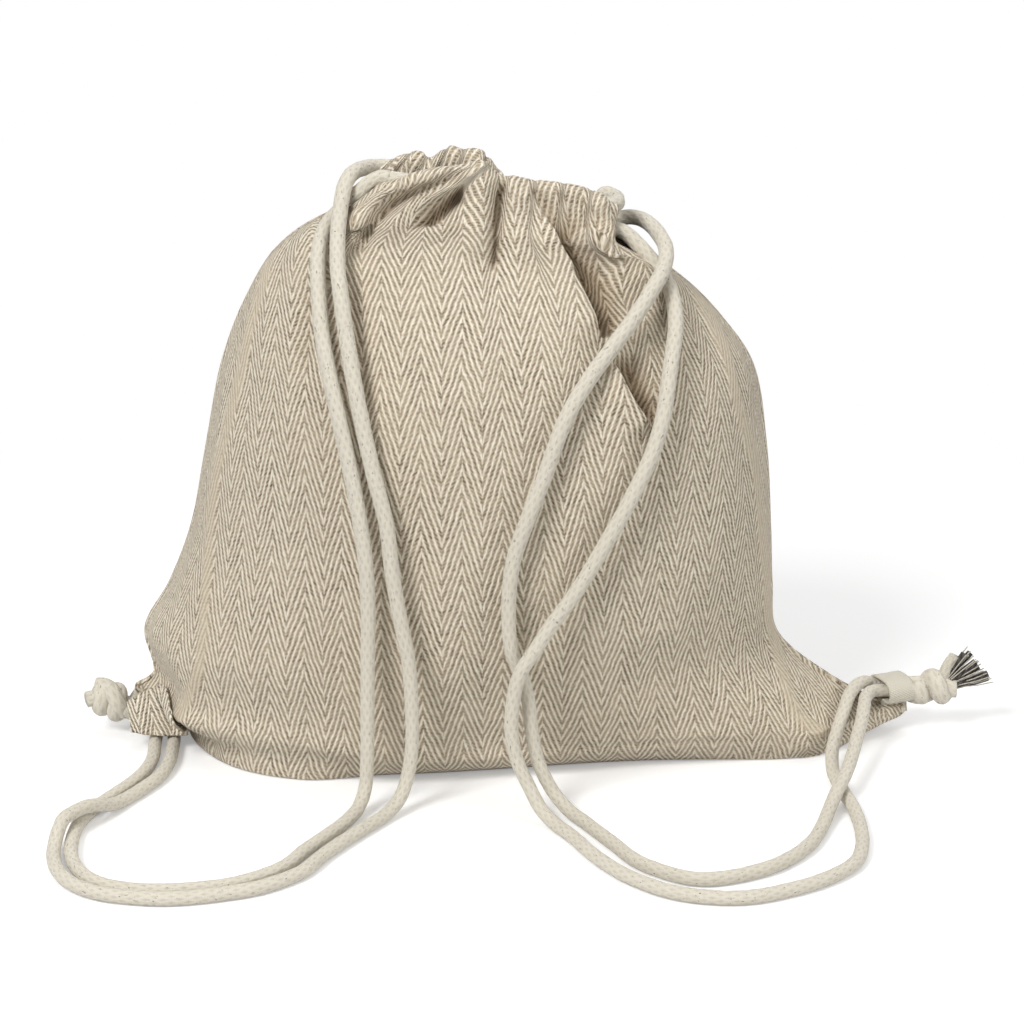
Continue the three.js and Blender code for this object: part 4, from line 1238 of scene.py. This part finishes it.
def floorMaterial():
    # white paper that keeps the shadow near the bag and runs out into the white background
    g = Graph("floorWhite")
    g.finish((paper["white"],) * 3 + (1.0,), 1.0, 0.0)
    g.shader.inputs["Specular IOR Level"].default_value = 0.0
    far = g.nodes.new("ShaderNodeVectorMath")
    far.operation = "LENGTH"
    g.links.new(g.place(), far.inputs[0])
    g.shader.inputs["Emission Color"].default_value = (1, 1, 1, 1)
    seen = g.nodes.new("ShaderNodeLightPath").outputs["Is Camera Ray"]
    g.put(g.shader.inputs["Emission Strength"], g.times(seen, paper["glow"]))
    beyond = g.nodes.new("ShaderNodeEmission")
    g.put(beyond.inputs["Strength"], g.plus(paper["farGlow"], g.times(seen, 1 - paper["farGlow"])))
    blend = g.nodes.new("ShaderNodeMixShader")
    g.put(blend.inputs[0], g.ramp(far.outputs["Value"], paper["fadeFrom"], paper["fadeTo"]))
    g.links.new(g.shader.outputs[0], blend.inputs[1])
    g.links.new(beyond.outputs[0], blend.inputs[2])
    g.links.new(blend.outputs[0], g.nodes["Material Output"].inputs["Surface"])
    return g.material


floorMesh.materials.append(floorMaterial())


# name, place, height of the point it aims at, size and power
lamps = [("keyLamp", (-1.1, -1.5, 1.7), 0.12, 0.9, 41.0), ("fillLamp", (1.9, -1.2, 1.1), 0.12, 1.6, 18.5),
         ("topLamp", (0.1, 0.5, 2.2), 0.1, 1.6, 10.5)]
for name, place, aim, size, power in lamps:
    data = bpy.data.lights.new(name, "AREA")
    data.shape = "DISK"
    data.size = size
    data.energy = power
    lamp = bpy.data.objects.new(name, data)
    lamp.location = place
    lamp.rotation_euler = (Vector((0, 0, aim)) - Vector(place)).to_track_quat("-Z", "Y").to_euler()
    scene.collection.objects.link(lamp)

room = {"glow": 0.42, "white": 1.0}


def addWorld(settings):
    # white to the camera, reflections and refractions, and a softer glow as light
    world = bpy.data.worlds.new("paleRoom")
    world.use_nodes = True
    scene.world = world
    nodes, links = world.node_tree.nodes, world.node_tree.links
    nodes.clear()
    rays = nodes.new("ShaderNodeLightPath")
    seen = rays.outputs["Is Camera Ray"]
    for kind in ("Is Glossy Ray", "Is Transmission Ray"):
        either = nodes.new("ShaderNodeMath")
        either.operation = "MAXIMUM"
        links.new(seen, either.inputs[0])
        links.new(rays.outputs[kind], either.inputs[1])
        seen = either.outputs[0]
    blend = nodes.new("ShaderNodeMixShader")
    links.new(seen, blend.inputs[0])
    for k, strength in ((1, settings["glow"]), (2, settings["white"])):
        light = nodes.new("ShaderNodeBackground")
        light.inputs["Color"].default_value = (1, 1, 1, 1)
        light.inputs["Strength"].default_value = strength
        links.new(light.outputs[0], blend.inputs[k])
    links.new(blend.outputs[0], nodes.new("ShaderNodeOutputWorld").inputs[0])


addWorld(room)
scene.view_settings.view_transform = "Standard"
print("materials, floor and light made")
